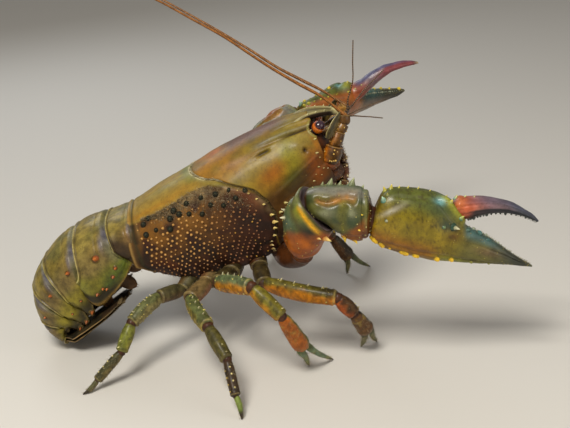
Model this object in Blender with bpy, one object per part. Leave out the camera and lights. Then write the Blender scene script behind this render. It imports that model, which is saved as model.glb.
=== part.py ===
"""Large spiny freshwater crayfish, life size, standing on its walking legs.

Sizes are in millimetres and become metres when a mesh is made. The body frame starts at the
middle of the rear edge of the carapace, x forward along the back, y to the animal's left, z out
of the back; the body is pitched nose up. The floor is z = 0.
"""
import math

import bmesh
import bpy
import numpy as np

# Placing
MM = 0.001
GAP = 0.3
CENTRE = (-7.8, 6.4)
PITCH = math.radians(20.85)
REAR = np.array([-64.7, 0.0, 62.9])

# Carapace, along the body
STATION = [-6, 0, 8, 15, 22, 30, 40, 50, 58, 66, 74, 80, 84, 90]
TOP = [0.2, 0.8, 2.0, 3.1, 3.9, 4.8, 6.3, 7.1, 7.4, 7.5, 7.2, 6.4, 5.7, 4.5]
HALF_WIDTH = [19.5, 20.6, 22.6, 23.6, 24.1, 24.3, 24.0, 22.9, 21.2, 19.2, 17.0, 15.2, 13.8, 12.0]
WIDEST = [-15, -16, -18, -19.5, -20.5, -21, -20.5, -19, -17.2, -15, -12.8, -11.2, -10.4, -10]
BOTTOM = [-26.5, -31, -35, -37, -38.4, -39.6, -40.3, -40, -38, -35, -31.5, -28.6, -26.6, -24]
UPPER_POWER = 2.3
LOWER_POWER = 3.4
RINGS = [0, 5, 11, 18, 24, 27.2, 28.9, 30.6, 35, 42, 50, 58, 66, 74, 80, 84]
GROOVE = 28.9
GROOVE_DEPTH = 1.1
GROOVE_ANGLE = [0, 10, 14.3, 24.6, 33.3, 47, 61, 82, 93, 116, 180]
GROOVE_AHEAD = [0, 0.2, 0.6, 8.0, 15.1, 21.6, 23.3, 25.8, 28.2, 24.3, 22.0]
FRONT = 84.0
AROUND = 30

# Feet and limbs, world positions of the joints on each side
LEG_GIRTH = {2: 3.3, 3: 3.4, 4: 3.2, 5: 2.9}
LEG_STATION = {2: 40.0, 3: 31.0, 4: 22.0, 5: 13.0}
RIGHT_LEGS = {
    2: dict(upper=[(-12.5, -19, 37.2), (-10.7, -29, 33.4), (4, -37.5, 31.8), (19.2, -42, 30.2)],
            carpus=(25.6, -42, 22.6), palm=(31.2, -36, 11.2), tips=[(28.8, -28, 0), (35.8, -24.3, 0)]),
    3: dict(upper=[(-24.5, -21, 36.0), (-29.7, -31, 36.0), (-23.5, -41, 39.2), (-15.5, -50, 41.2)],
            carpus=(-4.0, -57, 30.6), palm=(3.8, -51, 13.0), tips=[(5.6, -41.9, 0), (15.9, -38.1, 0)]),
    4: dict(upper=[(-35.0, -21, 32.2), (-41.7, -34, 31.0), (-38.5, -45, 29.6), (-33.8, -55, 27.5)],
            carpus=(-26.6, -67, 18.5), palm=(-23.9, -76.2, 7.2), tips=[(-22, -82, 0)]),
    5: dict(upper=[(-45.5, -20, 29.5), (-55, -28, 30.2), (-61, -34.5, 28.0), (-66.3, -40, 24.5)],
            carpus=(-70.9, -46, 14.6), palm=(-81.6, -50.2, 4.6), tips=[(-87.5, -53.3, 0)]),
}
LEFT_LEGS = {
    2: dict(upper=[(-13.5, 20, 37.0), (-11, 29, 33.6), (-1, 39, 33.8), (11, 47, 32.5)],
            carpus=(22.5, 50, 21.0), palm=(30.4, 51.5, 9.0), tips=[(28.7, 52.1, 0), (40.9, 59, 0)]),
    3: dict(upper=[(-23.5, 22, 36.0), (-24, 33, 36.4), (-20, 47, 38.6), (-15, 58, 37.0)],
            carpus=(-13.5, 71, 27.5), palm=(-12.5, 80.5, 11.5), tips=[(-16, 83.2, 0), (-8, 85.5, 0)]),
    4: dict(upper=[(-33.5, 22, 33.5), (-37, 34, 33.6), (-40, 49, 34.0), (-41.5, 59, 31.4)],
            carpus=(-41, 70.5, 22.0), palm=(-40, 78.5, 8.0), tips=[(-39.5, 82, 0)]),
    5: dict(upper=[(-43.5, 21, 31.0), (-50, 30, 31.6), (-54, 40, 31.0), (-56.5, 48, 27.5)],
            carpus=(-58, 57, 17.5), palm=(-59.5, 66.5, 5.5), tips=[(-60, 71, 0)]),
}
RIGHT_ARM = dict(path=[(-1.6, -21.5, 41.2), (2.4, -29.5, 47.2), (5.6, -36.5, 54.8), (8.0, -42.6, 61.2),
                       (9.8, -48.4, 66.6)],
                 wrist=(33.0, -52.0, 66.2), along=(0.9398, -0.061, -0.336), mesial=(0.336, 0.0, 0.942))
LEFT_ARM = dict(path=[(-4.6, 21.5, 40.0), (-6.5, 29.5, 44.0), (-9.5, 37.5, 50.5), (-13.0, 45.0, 58.0),
                      (-14.0, 51.5, 64.8)],
                wrist=(7.2, 67.9, 77.6), along=(0.895, 0.43, 0.045), mesial=(0.34, -0.72, 0.61))
CLAW_SCALE = {-1: 1.0, 1: 0.97}
DACTYL_OPEN = {-1: 0.0, 1: math.radians(24.6)}

# Claw outline, distance along and across, thickness: mesial edge, lateral edge
PALM = [((0.4, 5.6), (0.4, -5.0), 9.5), ((3.1, 14.6), (8.2, -8.0), 13.0), ((10.8, 19.6), (16.2, -8.6), 15.4),
        ((19.4, 20.0), (24.7, -7.2), 15.8), ((29.2, 17.9), (32.1, -5.4), 13.6), ((36.5, 8.0), (38.6, -3.6), 9.8),
        ((44.5, 6.3), (46.3, -3.3), 8.2), ((53.7, 4.3), (55.2, -2.8), 6.2), ((61.2, 2.5), (62.2, -1.8), 3.8)]
PALM_TIP = (66.0, 0.2)
DACTYL = [((29.6, 18.0), (36.8, 8.4), 9.8), ((36.6, 22.0), (41.6, 13.0), 9.0), ((45.7, 23.6), (48.3, 16.4), 7.0),
          ((53.2, 23.5), (53.8, 18.3), 5.0), ((58.4, 22.2), (58.6, 19.3), 3.2)]
DACTYL_TIP = (61.8, 20.2)
DACTYL_HINGE = (32.9, 13.0)
CARPUS = [(0.0, 6.6, -6.2, 11.0), (5.0, 10.6, -7.6, 15.0), (13.5, 12.8, -7.4, 16.6), (20.5, 10.6, -7.0, 15.0),
          (24.6, 6.6, -6.0, 10.6)]

# Abdomen: back edge, side edge (world x, z), half width, for three rings of each segment
ABDOMEN = [
    [((-66.0, 62.0), (-62.3, 43.6), 18.6), ((-71.8, 60.7), (-66.6, 41.0), 19.0), ((-77.4, 58.7), (-70.9, 41.8), 18.8)],
    [((-78.1, 58.9), (-70.0, 38.0), 20.0), ((-85.5, 57.4), (-80.0, 24.8), 20.8), ((-92.0, 53.8), (-86.4, 25.6), 20.2)],
    [((-92.5, 53.4), (-87.0, 25.2), 19.8), ((-100.8, 48.5), (-87.7, 19.6), 20.1), ((-107.0, 41.3), (-88.9, 19.6), 19.2)],
    [((-107.4, 40.8), (-89.3, 19.2), 18.8), ((-111.4, 35.3), (-90.3, 15.6), 18.9), ((-113.1, 30.2), (-91.6, 15.0), 18.0)],
    [((-113.2, 29.6), (-91.9, 14.8), 17.6), ((-113.5, 22.2), (-93.6, 12.9), 17.5), ((-111.6, 15.2), (-96.2, 13.2), 16.4)],
    [((-111.4, 14.6), (-96.3, 12.7), 16.0), ((-107.6, 7.2), (-98.4, 11.6), 15.0), ((-100.9, 1.7), (-100.4, 9.6), 13.4)],
]
ARCH_DOWN = [0.0, 0.025, 0.11, 0.27, 0.5, 0.76, 1.0]
ARCH_OUT = [0.0, 0.36, 0.68, 0.89, 1.0, 0.99, 0.88]
STERNUM_DOWN = 0.70
PLEURON_THICK = 1.8

# Tail fan: outer face of the folded fan, world x, z, and the layers stacked inside it
FAN_X = [-100.1, -95.0, -89.5, -80.0, -71.0]
FAN_Z = [1.5, 2.4, 6.0, 12.9, 19.4]
LAYER = {"telson": 1.7, "endopod": 3.8, "exopod": 5.6}

# Antennae, world positions
RIGHT_ANTENNA = [(28.2, -8.0, 97.2), (18.2, -9.3, 106.9), (9.0, -10.4, 113.2), (-0.5, -11.5, 120.0),
                 (-9.6, -13.0, 127.3), (-18.7, -14.2, 134.7), (-32.1, -16.2, 144.0), (-44.2, -18.5, 152.3),
                 (-56.0, -21.0, 158.6), (-68.0, -24.0, 162.6), (-80.0, -27.5, 163.6), (-91.0, -31.0, 161.4)]
LEFT_ANTENNA = [(30.2, 8.0, 97.2), (19.8, 9.2, 104.6), (11.0, 10.2, 109.8), (1.6, 11.2, 115.4),
                (-10.0, 13.0, 123.7), (-19.8, 14.6, 130.4), (-34.4, 17.2, 139.7), (-46.6, 20.0, 147.0),
                (-58.0, 24.0, 152.6), (-70.0, 29.0, 156.2), (-82.0, 35.0, 157.0), (-93.0, 41.0, 154.8)]
ANTENNA_BASE = 1.25
ANTENNA_END = 0.32
ANTENNA_SPLIT = 5

COLOURS = {
    "shell": (0.22, 0.20, 0.05), "abdomen": (0.16, 0.19, 0.05), "tail_fan": (0.10, 0.13, 0.05),
    "claw": (0.10, 0.18, 0.09), "dactyl": (0.20, 0.08, 0.08), "arm": (0.45, 0.16, 0.02),
    "leg": (0.24, 0.22, 0.05), "eye": (0.05, 0.02, 0.04), "antenna": (0.36, 0.12, 0.03),
    "mouth": (0.16, 0.06, 0.02),
}


def body(x, y, z):
    """A point of the body frame in world millimetres."""
    c, s = math.cos(PITCH), math.sin(PITCH)
    return REAR + np.array([x * c - z * s, y, x * s + z * c])


def body_turn(v):
    c, s = math.cos(PITCH), math.sin(PITCH)
    return np.array([v[0] * c - v[2] * s, v[1], v[0] * s + v[2] * c])


def unit(v):
    v = np.asarray(v, float)
    return v / np.linalg.norm(v)


def curve(x, xs, ys):
    """Smooth curve through a table of values."""
    xs = np.asarray(xs, float)
    ys = np.asarray(ys, float)
    slope = np.gradient(ys, xs)
    i = int(np.clip(np.searchsorted(xs, x) - 1, 0, len(xs) - 2))
    h = xs[i + 1] - xs[i]
    t = min(max((x - xs[i]) / h, 0.0), 1.0)
    a = (1 + 2 * t) * (1 - t) ** 2 * ys[i] + t * (1 - t) ** 2 * h * slope[i]
    b = t * t * (3 - 2 * t) * ys[i + 1] - t * t * (1 - t) * h * slope[i + 1]
    return a + b


def bow(n, power, turn=0.0):
    """n points round a rounded square of half size 1: across, up."""
    t = np.arange(n) * 2 * math.pi / n + turn
    c, s = np.cos(t), np.sin(t)
    return np.sign(s) * np.abs(s) ** (2 / power), np.sign(c) * np.abs(c) ** (2 / power)


def loft(rings, tip=None, start_tip=None):
    """Closed mesh through rings of equal count: vertices and faces."""
    n = len(rings[0])
    verts = [tuple(p) for ring in rings for p in ring]
    faces = []
    for k in range(len(rings) - 1):
        for j in range(n):
            a, b = k * n + j, k * n + (j + 1) % n
            faces.append((a, b, b + n, a + n))
    if start_tip is None:
        faces.append(tuple(range(n))[::-1])
    else:
        verts.append(tuple(start_tip))
        faces += [((j + 1) % n, j, len(verts) - 1) for j in range(n)]
    last = (len(rings) - 1) * n
    if tip is None:
        faces.append(tuple(range(last, last + n)))
    else:
        verts.append(tuple(tip))
        faces += [(last + j, last + (j + 1) % n, len(verts) - 1) for j in range(n)]
    return verts, faces


def on_plane(ring, along, point, normal, shift=0.0):
    """Moves a ring along one direction until it lies in a plane."""
    point, normal, along = np.asarray(point, float), unit(normal), unit(along)
    reach = ((point - ring) @ normal + shift) / (along @ normal)
    return ring + reach[:, None] * along


def behind(ring, way, point, normal, margin):
    """Pulls back the points of a ring that reach past a joint plane."""
    past = (ring - np.asarray(point, float)) @ normal + margin
    lead = float(way @ normal)
    if lead < 0.3:
        return ring
    return ring - np.maximum(past, 0.0)[:, None] * way / lead


def sweep(path, halves, up, start=None, end=None, sides=8, power=2.4, tip=None):
    """Rounded section carried along a bent path; both ends may be cut by a joint plane."""
    path = [np.asarray(p, float) for p in path]
    across, rise = bow(sides, power, math.pi / sides)
    rings = []
    for k, point in enumerate(path):
        before = unit(point - path[k - 1]) if k else unit(path[1] - point)
        after = unit(path[k + 1] - point) if k < len(path) - 1 else before
        way = unit(before + after)
        side = unit(np.cross(way, up))
        lift = np.cross(side, way)
        w, h = halves[k]
        ring = point + np.outer(across * w, side) + np.outer(rise * h, lift)
        if k == 0 and start is not None:
            ring = on_plane(ring, after, *start)
        elif start is not None:
            ring = behind(ring, -way, start[0], -unit(start[1]), 0.8)
        if k == len(path) - 1 and end is not None:
            ring = on_plane(ring, before, *end)
        elif end is not None:
            ring = behind(ring, way, end[0], unit(end[1]), 0.8)
        rings.append(ring)
    return loft(rings, tip=tip)


def thorn(at, way, length, radius, sides=4, sink=1.0):
    """A cone standing on a surface, its root sunk in."""
    way = unit(way)
    at = np.asarray(at, float)
    helper = (0, 0, 1) if abs(way[2]) < 0.8 else (0, 1, 0)
    side = unit(np.cross(way, helper))
    lift = np.cross(way, side)
    t = np.arange(sides) * 2 * math.pi / sides + 0.4
    grown = radius * (1 + sink / length * 0.25)
    ring = at - way * sink + grown * (np.outer(np.cos(t), side) + np.outer(np.sin(t), lift))
    return loft([ring], tip=at + way * length)


def ball(centre, radius, rows=6, cols=10):
    centre = np.asarray(centre, float)
    rings = []
    for k in range(1, rows):
        a = math.pi * k / rows
        t = np.arange(cols) * 2 * math.pi / cols
        rings.append(centre + radius * np.stack([np.sin(a) * np.cos(t), np.sin(a) * np.sin(t),
                                                 np.full(cols, -math.cos(a))], 1))
    return loft(rings, tip=centre + (0, 0, radius), start_tip=centre - (0, 0, radius))


def clean(mesh, keep_largest=False):
    """Faces outward, no doubled vertices, only the largest closed surface if asked."""
    bm = bmesh.new()
    bm.from_mesh(mesh)
    bmesh.ops.remove_doubles(bm, verts=bm.verts, dist=0.00002)
    bmesh.ops.dissolve_degenerate(bm, edges=bm.edges, dist=0.00002)
    if keep_largest:
        left, groups = set(bm.faces), []
        while left:
            stack, group = [left.pop()], []
            while stack:
                face = stack.pop()
                group.append(face)
                for edge in face.edges:
                    for other in edge.link_faces:
                        if other in left:
                            left.remove(other)
                            stack.append(other)
            groups.append(group)
        groups.sort(key=len, reverse=True)
        spare = [f for g in groups[1:] for f in g]
        bmesh.ops.delete(bm, geom=spare, context="FACES")
        loose = [v for v in bm.verts if not v.link_faces]
        bmesh.ops.delete(bm, geom=loose, context="VERTS")
    bmesh.ops.recalc_face_normals(bm, faces=bm.faces)
    bm.to_mesh(mesh)
    bm.free()


def raw(name, shape):
    verts, faces = shape
    moved = (np.asarray(verts) - (CENTRE[0], CENTRE[1], 0.0)) * MM
    mesh = bpy.data.meshes.new(name)
    mesh.from_pydata([tuple(v) for v in moved], [], faces)
    obj = bpy.data.objects.new(name, mesh)
    bpy.context.scene.collection.objects.link(obj)
    clean(mesh)
    return obj


def finish(obj, colour):
    material = bpy.data.materials.get(colour) or bpy.data.materials.new(colour)
    material.use_nodes = True
    shader = material.node_tree.nodes["Principled BSDF"]
    shader.inputs["Base Color"].default_value = (*COLOURS[colour], 1.0)
    shader.inputs["Roughness"].default_value = 0.4
    obj.data.materials.clear()
    obj.data.materials.append(material)
    for face in obj.data.polygons:
        face.use_smooth = True
        face.material_index = 0
    return obj


def combine(obj, shapes, operation="UNION"):
    """One Boolean on the node with a collection of closed shapes."""
    group = bpy.data.collections.new(obj.name + "_tools")
    bpy.context.scene.collection.children.link(group)
    tools = []
    for k, shape in enumerate(shapes):
        tool = raw(f"{obj.name}_tool_{k}", shape)
        bpy.context.scene.collection.objects.unlink(tool)
        group.objects.link(tool)
        tool.hide_render = True
        tool.display_type = "WIRE"
        tools.append(tool)
    change = obj.modifiers.new("combine", "BOOLEAN")
    change.operation = operation
    change.operand_type = "COLLECTION"
    change.collection = group
    change.solver = "MANIFOLD"
    graph = bpy.context.evaluated_depsgraph_get()
    mesh = bpy.data.meshes.new_from_object(obj.evaluated_get(graph))
    obj.modifiers.clear()
    obj.data = mesh
    for tool in tools:
        bpy.data.objects.remove(tool, do_unlink=True)
    bpy.data.collections.remove(group)
    clean(obj.data, keep_largest=True)
    return obj


def part(name, colour, shape, extras=(), cuts=()):
    obj = raw(name, shape)
    if extras:
        combine(obj, extras)
    if cuts:
        combine(obj, cuts, "DIFFERENCE")
    return finish(obj, colour)


def shell_point(x, angle, inset=0.0):
    """Point of the carapace in the body frame: x along, angle in degrees down from the back."""
    a = math.radians(angle)
    top, wide = curve(x, STATION, TOP), curve(x, STATION, HALF_WIDTH)
    mid, low = curve(x, STATION, WIDEST), curve(x, STATION, BOTTOM)
    power = UPPER_POWER if abs(angle) <= 90 else LOWER_POWER
    c, s = math.cos(a), math.sin(a)
    y = wide * math.copysign(abs(s) ** (2 / power), s)
    height = abs(c) ** (2 / power)
    z = mid + (top - mid) * height if abs(angle) <= 90 else mid - (mid - low) * height
    centre_z = mid
    reach = math.hypot(y, z - centre_z)
    k = 1 - inset / max(reach, 1e-6)
    return np.array([x, -y * k, centre_z + (z - centre_z) * k])


def ring_line(s, angle):
    """Body x of a ring line of the carapace: the lines follow the rear edge and the groove."""
    ahead = curve(abs(angle), GROOVE_ANGLE, GROOVE_AHEAD)
    share = s / GROOVE if s < GROOVE else (FRONT - s) / (FRONT - GROOVE)
    x = s + share * ahead
    if s < 15:
        x += 0.155 * (shell_point(x, angle)[2] - 0.8) * (1 - s / 15)
    return x


def shell_normal(x, angle):
    e = 0.5
    a = shell_point(x + e, angle) - shell_point(x - e, angle)
    b = shell_point(x, angle + 2 * e) - shell_point(x, angle - 2 * e)
    n = unit(np.cross(a, b))
    centre = np.array([x, 0, curve(x, STATION, WIDEST)])
    return n if n @ (shell_point(x, angle) - centre) > 0 else -n


def world_shell(x, angle):
    return body(*shell_point(x, angle)), body_turn(shell_normal(x, angle))


def carapace():
    rings = []
    for s in RINGS:
        ring = []
        for k in range(AROUND):
            angle = 360.0 * k / AROUND
            angle = angle if angle <= 180 else angle - 360
            inset = GROOVE_DEPTH * math.exp(-((s - GROOVE) / 1.3) ** 2) * (1 if abs(angle) < 125 else 0)
            ring.append(body(*shell_point(ring_line(s, angle), angle, inset)))
        rings.append(np.array(ring))
    middle = body(FRONT, 0, -11.0)
    for ahead, scale in ((2.2, 0.82), (3.8, 0.5)):
        rings.append(middle + (rings[len(RINGS) - 1] - middle) * scale + body_turn((ahead, 0, 0)))
    extras = [rostrum()]
    for side in (-1, 1):
        for x, angle, length, radius in ((66.0, 33, 1.4, 1.1), (80.0, 47, 1.5, 1.0), (81.5, 66, 1.5, 1.1),
                                         (80.5, 84, 1.4, 1.1), (74.0, 100, 1.3, 1.1), (64.0, 104, 1.3, 1.1)):
            at, out = world_shell(x, -side * angle)
            extras.append(thorn(at, out + body_turn((0.7, 0, 0)), length, radius))
        for k in range(8):
            angle = 58 + k * 8.2
            x = ring_line(GROOVE, angle) - 2.6
            at, out = world_shell(x, -side * angle)
            extras.append(thorn(at, out + body_turn((0.8, 0, 0)), 2.1, 1.15))
        for row in range(7):
            angle = 44 + row * 10.5
            ahead = ring_line(GROOVE, angle) - 7.0
            count = int(ahead / 6.2)
            for k in range(count):
                x = 3.5 + (ahead - 3.5) * (k + 0.5 * (row % 2)) / count
                at, out = world_shell(x, -side * angle)
                big = 1.25 if row == 0 else 0.9
                extras.append(thorn(at, out + body_turn((0.5, 0, 0)), big, big * 0.95))
    orbits = [ball(body(86.9, side * 9.7, 0.2), 3.5, 6, 12) for side in (-1, 1)]
    return part("carapace", "shell", loft(rings), extras, orbits)


def rostrum():
    """Beak over the eyes: raised edges, a hollow between them, three pairs of side teeth."""
    xs = (76.0, 80.0, 84.0, 88.0, 92.0, 95.0, 96.4)
    half = (8.6, 7.4, 6.0, 5.0, 3.8, 2.0, 0.6)
    top = (6.3, 6.1, 5.5, 4.5, 3.0, 1.4, 0.2)
    edge = (4.6, 5.5, 6.0, 5.3, 3.9, 2.1, 0.5)
    deep = (5.0, 4.2, 3.2, 2.7, 2.4, 2.0, 1.4)
    rings = []
    for x, w, z, e, d in zip(xs, half, top, edge, deep):
        line = [(0, z), (-0.6 * w, (z + e) / 2), (-0.86 * w, e), (-w, e - 0.8), (-0.8 * w, z - d * 0.8),
                (0, z - d), (0.8 * w, z - d * 0.8), (w, e - 0.8), (0.86 * w, e), (0.6 * w, (z + e) / 2)]
        rings.append(np.array([body(x, y, v) for y, v in line]))
    return loft(rings)


def abdomen():
    for number, rings3 in enumerate(ABDOMEN, start=1):
        rings = []
        for (dx, dz), (vx, vz), w in rings3:
            d, v = np.array([dx, dz]), np.array([vx, vz])
            half = [(ARCH_OUT[k] * w, ARCH_DOWN[k]) for k in range(1, len(ARCH_DOWN))]
            thick = PLEURON_THICK
            size = float(np.linalg.norm(v - d))
            inner = [(0.88 * w - thick, 1.0), (0.80 * w - thick, 0.84), (0.55 * w, STERNUM_DOWN + 0.03)]
            if size < 18:
                inner = [(0.86 * w - thick, 0.96), (0.7 * w - thick, 0.84), (0.4 * w, 0.8)]
            line = [(0.0, 0.0)] + half + inner
            line += [(0.0, STERNUM_DOWN if size >= 18 else 0.8)]
            line += [(-y, f) for y, f in inner[::-1]] + [(-y, f) for y, f in half[::-1]]
            ring = []
            for y, f in line:
                p = d + (v - d) * f
                ring.append((p[0], -y, p[1]))
            rings.append(np.array(ring))
        extras = []
        middle = rings[1]
        count = len(ARCH_DOWN)
        if 2 <= number <= 5:
            for side in (-1, 1):
                for f, length, radius in SEGMENT_SPINES[number]:
                    at, out = arch_point(rings, f, side)
                    extras.append(thorn(at, out + np.array([-0.25, 0, -0.2]), length, radius, 5, 1.2))
                extras.append(pleopod(rings3[1], side))
        part(f"abdomen_{number}", "abdomen", loft(rings), extras)


SEGMENT_SPINES = {
    2: [(0.40, 1.6, 1.2), (0.62, 2.4, 1.5), (0.80, 1.6, 1.2)],
    3: [(0.30, 1.2, 1.0), (0.52, 2.4, 1.4), (0.75, 1.6, 1.1)],
    4: [(0.30, 1.2, 1.0), (0.52, 2.2, 1.3), (0.75, 1.5, 1.0)],
    5: [(0.30, 1.1, 1.0), (0.52, 1.8, 1.2), (0.75, 1.4, 1.0)],
}


def arch_point(rings, f, side):
    """Point and outward direction on the middle ring of a segment."""
    (a, b, c) = rings
    outer = b[: len(ARCH_DOWN)]
    p = np.array([np.interp(f, ARCH_DOWN, outer[:, k]) for k in range(3)])
    q = np.array([np.interp(min(f + 0.08, 1), ARCH_DOWN, outer[:, k]) for k in range(3)])
    r = np.array([np.interp(max(f - 0.08, 0), ARCH_DOWN, outer[:, k]) for k in range(3)])
    other = a[: len(ARCH_DOWN)]
    s = np.array([np.interp(f, ARCH_DOWN, other[:, k]) for k in range(3)])
    n = unit(np.cross(q - r, p - s))
    if n[1] > 0:
        n = -n
    return p * (1, -side, 1), n * (1, -side, 1)


def pleopod(ring, side):
    """Small swimming leg hanging from the underside of a segment."""
    (dx, dz), (vx, vz), w = ring
    d, v = np.array([dx, dz]), np.array([vx, vz])
    root = d + (v - d) * (STERNUM_DOWN - 0.08)
    end = d + (v - d) * 0.93
    path = [(root[0], side * 7.0, root[1]), ((root[0] + end[0]) / 2, side * 7.5, (root[1] + end[1]) / 2),
            (end[0], side * 6.5, end[1])]
    return sweep(path, [(1.6, 0.7), (2.2, 0.7), (1.0, 0.45)], (1, 0, 0.3), sides=6)


def fan_point(t, lift):
    """Place in the folded fan: t from 0 at the root to 1 at the edge, lift into the fold."""
    xs, zs = np.array(FAN_X), np.array(FAN_Z)
    run = np.concatenate([[0], np.cumsum(np.hypot(np.diff(xs), np.diff(zs)))])
    s = t * run[-1]
    x, z = curve(s, run, xs), curve(s, run, zs)
    e = 0.3
    dx = curve(min(s + e, run[-1]), run, xs) - curve(max(s - e, 0), run, xs)
    dz = curve(min(s + e, run[-1]), run, zs) - curve(max(s - e, 0), run, zs)
    way = unit((dx, dz))
    return np.array([x - way[1] * lift, z + way[0] * lift])


def blade(layer, stations, side=0):
    """Flat plate of the tail fan: stations of t, middle y, half width, half thickness."""
    rings = []
    across, rise = bow(8, 2.2)
    for t, y, w, h in stations:
        p, q = fan_point(t, LAYER[layer]), fan_point(t, LAYER[layer] + 1)
        up = unit(q - p)
        ring = [(p[0] + up[0] * r * h, y + a * w, p[1] + up[1] * r * h) for a, r in zip(across, rise)]
        ring = np.array(ring)
        if t == 0:
            ring[:, 0] = FAN_X[0]
        rings.append(ring)
    return loft(rings)


def tail_fan():
    part("telson", "tail_fan", blade("telson", [(0, 0, 7.6, 1.5), (0.18, 0, 9.4, 1.6), (0.5, 0, 9.2, 1.4),
                                                (0.8, 0, 8.2, 1.1), (0.94, 0, 6.2, 0.8), (1.0, 0, 3.2, 0.6)]))
    for side, word in ((-1, "right"), (1, "left")):
        part(f"uropod_inner_{word}", "tail_fan",
             blade("endopod", [(0, side * 10.0, 2.4, 0.7), (0.15, side * 11.4, 4.4, 0.75),
                               (0.5, side * 12.8, 5.8, 0.75), (0.85, side * 13.2, 5.2, 0.6),
                               (0.99, side * 13.0, 2.4, 0.5)]))
        part(f"uropod_outer_{word}", "tail_fan",
             blade("exopod", [(0, side * 10.6, 2.2, 0.6), (0.15, side * 12.6, 3.8, 0.75),
                              (0.5, side * 15.2, 5.2, 0.75), (0.85, side * 16.6, 5.0, 0.6),
                              (1.0, side * 16.8, 2.4, 0.5)]))


def head():
    for side, word in ((-1, "right"), (1, "left")):
        part(f"eye_{word}", "eye", ball(body(86.9, side * 9.7, 0.2), 3.1, 8, 12))
        root = body(88.9, side * 11.3, -11.6)
        path = [root, body(89.9, side * 11.0, -10.0), body(91.4, side * 10.3, -8.0), body(93.4, side * 9.5, -6.6),
                body(95.4, side * 8.8, -5.2), body(97.4, side * 8.1, -4.0)]
        tip = np.array(RIGHT_ANTENNA[0] if side < 0 else LEFT_ANTENNA[0])
        following = np.array(RIGHT_ANTENNA[1] if side < 0 else LEFT_ANTENNA[1])
        path.append(tip)
        turn = unit(tip - path[-2]) + unit(following - tip)
        part(f"antenna_base_{word}", "antenna",
             sweep(path, [(2.6, 2.6), (3.0, 3.0), (2.2, 2.2), (2.6, 2.6), (1.9, 1.9), (2.0, 2.0), (1.5, 1.5)],
                   (0, 0, 1), end=(tip, turn, -GAP / 2)))
        scale_path = [body(89.2, side * 13.6, -4.4), body(91.2, side * 13.2, -2.6), body(93.6, side * 12.3, -0.6),
                      body(96.0, side * 11.2, 1.2), body(97.6, side * 10.4, 2.4)]
        part(f"antenna_scale_{word}", "shell",
             sweep(scale_path, [(0.6, 1.5), (0.7, 2.4), (0.6, 2.3), (0.5, 1.3), (0.3, 0.4)], (0, 0, 1), sides=6))
        whip = RIGHT_ANTENNA if side < 0 else LEFT_ANTENNA
        count = len(whip)
        girth = [ANTENNA_BASE + (ANTENNA_END - ANTENNA_BASE) * (k / (count - 1)) ** 0.8 for k in range(count)]
        cut = (whip[ANTENNA_SPLIT], np.array(whip[ANTENNA_SPLIT + 1]) - np.array(whip[ANTENNA_SPLIT - 1]))
        part(f"antenna_inner_{word}", "antenna",
             sweep(whip[: ANTENNA_SPLIT + 1], [(g, g) for g in girth[: ANTENNA_SPLIT + 1]], (0, 0, 1),
                   start=(tip, turn, GAP / 2), end=(*cut, -GAP / 2), sides=6))
        part(f"antenna_outer_{word}", "antenna",
             sweep(whip[ANTENNA_SPLIT:], [(g, g) for g in girth[ANTENNA_SPLIT:]], (0, 0, 1),
                   start=(*cut, GAP / 2), sides=6))
        stem = [body(88.4, side * 3.4, -4.6), body(91.5, side * 3.4, -3.6), body(95.0, side * 3.2, -2.9),
                body(98.6, side * 3.0, -2.4)]
        lash = [[(43.8, -6.0, 94.9)], [(40.6, -2.4, 100.1)]] if side < 0 else \
            [[(46.2, 7.0, 112.6)], [(32.4, 4.6, 108.2), (33.6, 6.0, 126.3)]]
        extras = []
        for k, line in enumerate(lash):
            start = np.array(stem[3]) + (0.0, 0.7 * (1 if k else -1) * side * -1, 0.0)
            back = start - 2.0 * unit(np.array(stem[3]) - stem[2])
            points = [back, start]
            for p in line:
                points.append((points[-1] + np.array(p)) / 2)
                points.append(np.array(p))
            sizes = [0.62 - 0.32 * i / (len(points) - 1) for i in range(len(points))]
            extras.append(sweep(points, [(g, g) for g in sizes], (0.2, 1, 0.1), sides=5))
        part(f"antennule_{word}", "antenna",
             sweep(stem, [(1.3, 1.3), (1.5, 1.4), (1.4, 1.3), (1.3, 1.0)], (0, 0, 1)), extras)
        jaw = [body(58, side * 8, -41.6), body(64, side * 8, -39.6), body(73, side * 7.6, -36.2),
               body(81, side * 7.2, -32.2), body(86.8, side * 6.8, -28.6), body(90.6, side * 6.2, -22.2),
               body(92.0, side * 5.6, -15.6)]
        part(f"maxilliped_{word}", "mouth",
             sweep(jaw, [(2.2, 1.6), (2.8, 2.3), (3.0, 2.5), (2.8, 2.4), (2.6, 2.4), (2.3, 2.1), (1.2, 0.9)],
                   body_turn((0, 0, 1))))


def frame_of(along, mesial, side):
    a = unit(along)
    b = unit(np.asarray(mesial, float) - a * (np.asarray(mesial, float) @ a))
    c = np.cross(a, b) * -side
    return a, b, c


def plate_rings(origin, axes, stations, scale, sides, power):
    """Rings between a mesial and a lateral edge point with a thickness."""
    a, b, c = axes
    across, rise = bow(sides, power)
    rings = []
    for (ma, mb), (la, lb), thick in stations:
        m = origin + scale * (ma * a + mb * b)
        l = origin + scale * (la * a + lb * b)
        half = (m - l) / 2
        rings.append((m + l) / 2 + np.outer(rise, half) + np.outer(across * thick * scale / 2, c))
    return rings


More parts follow.
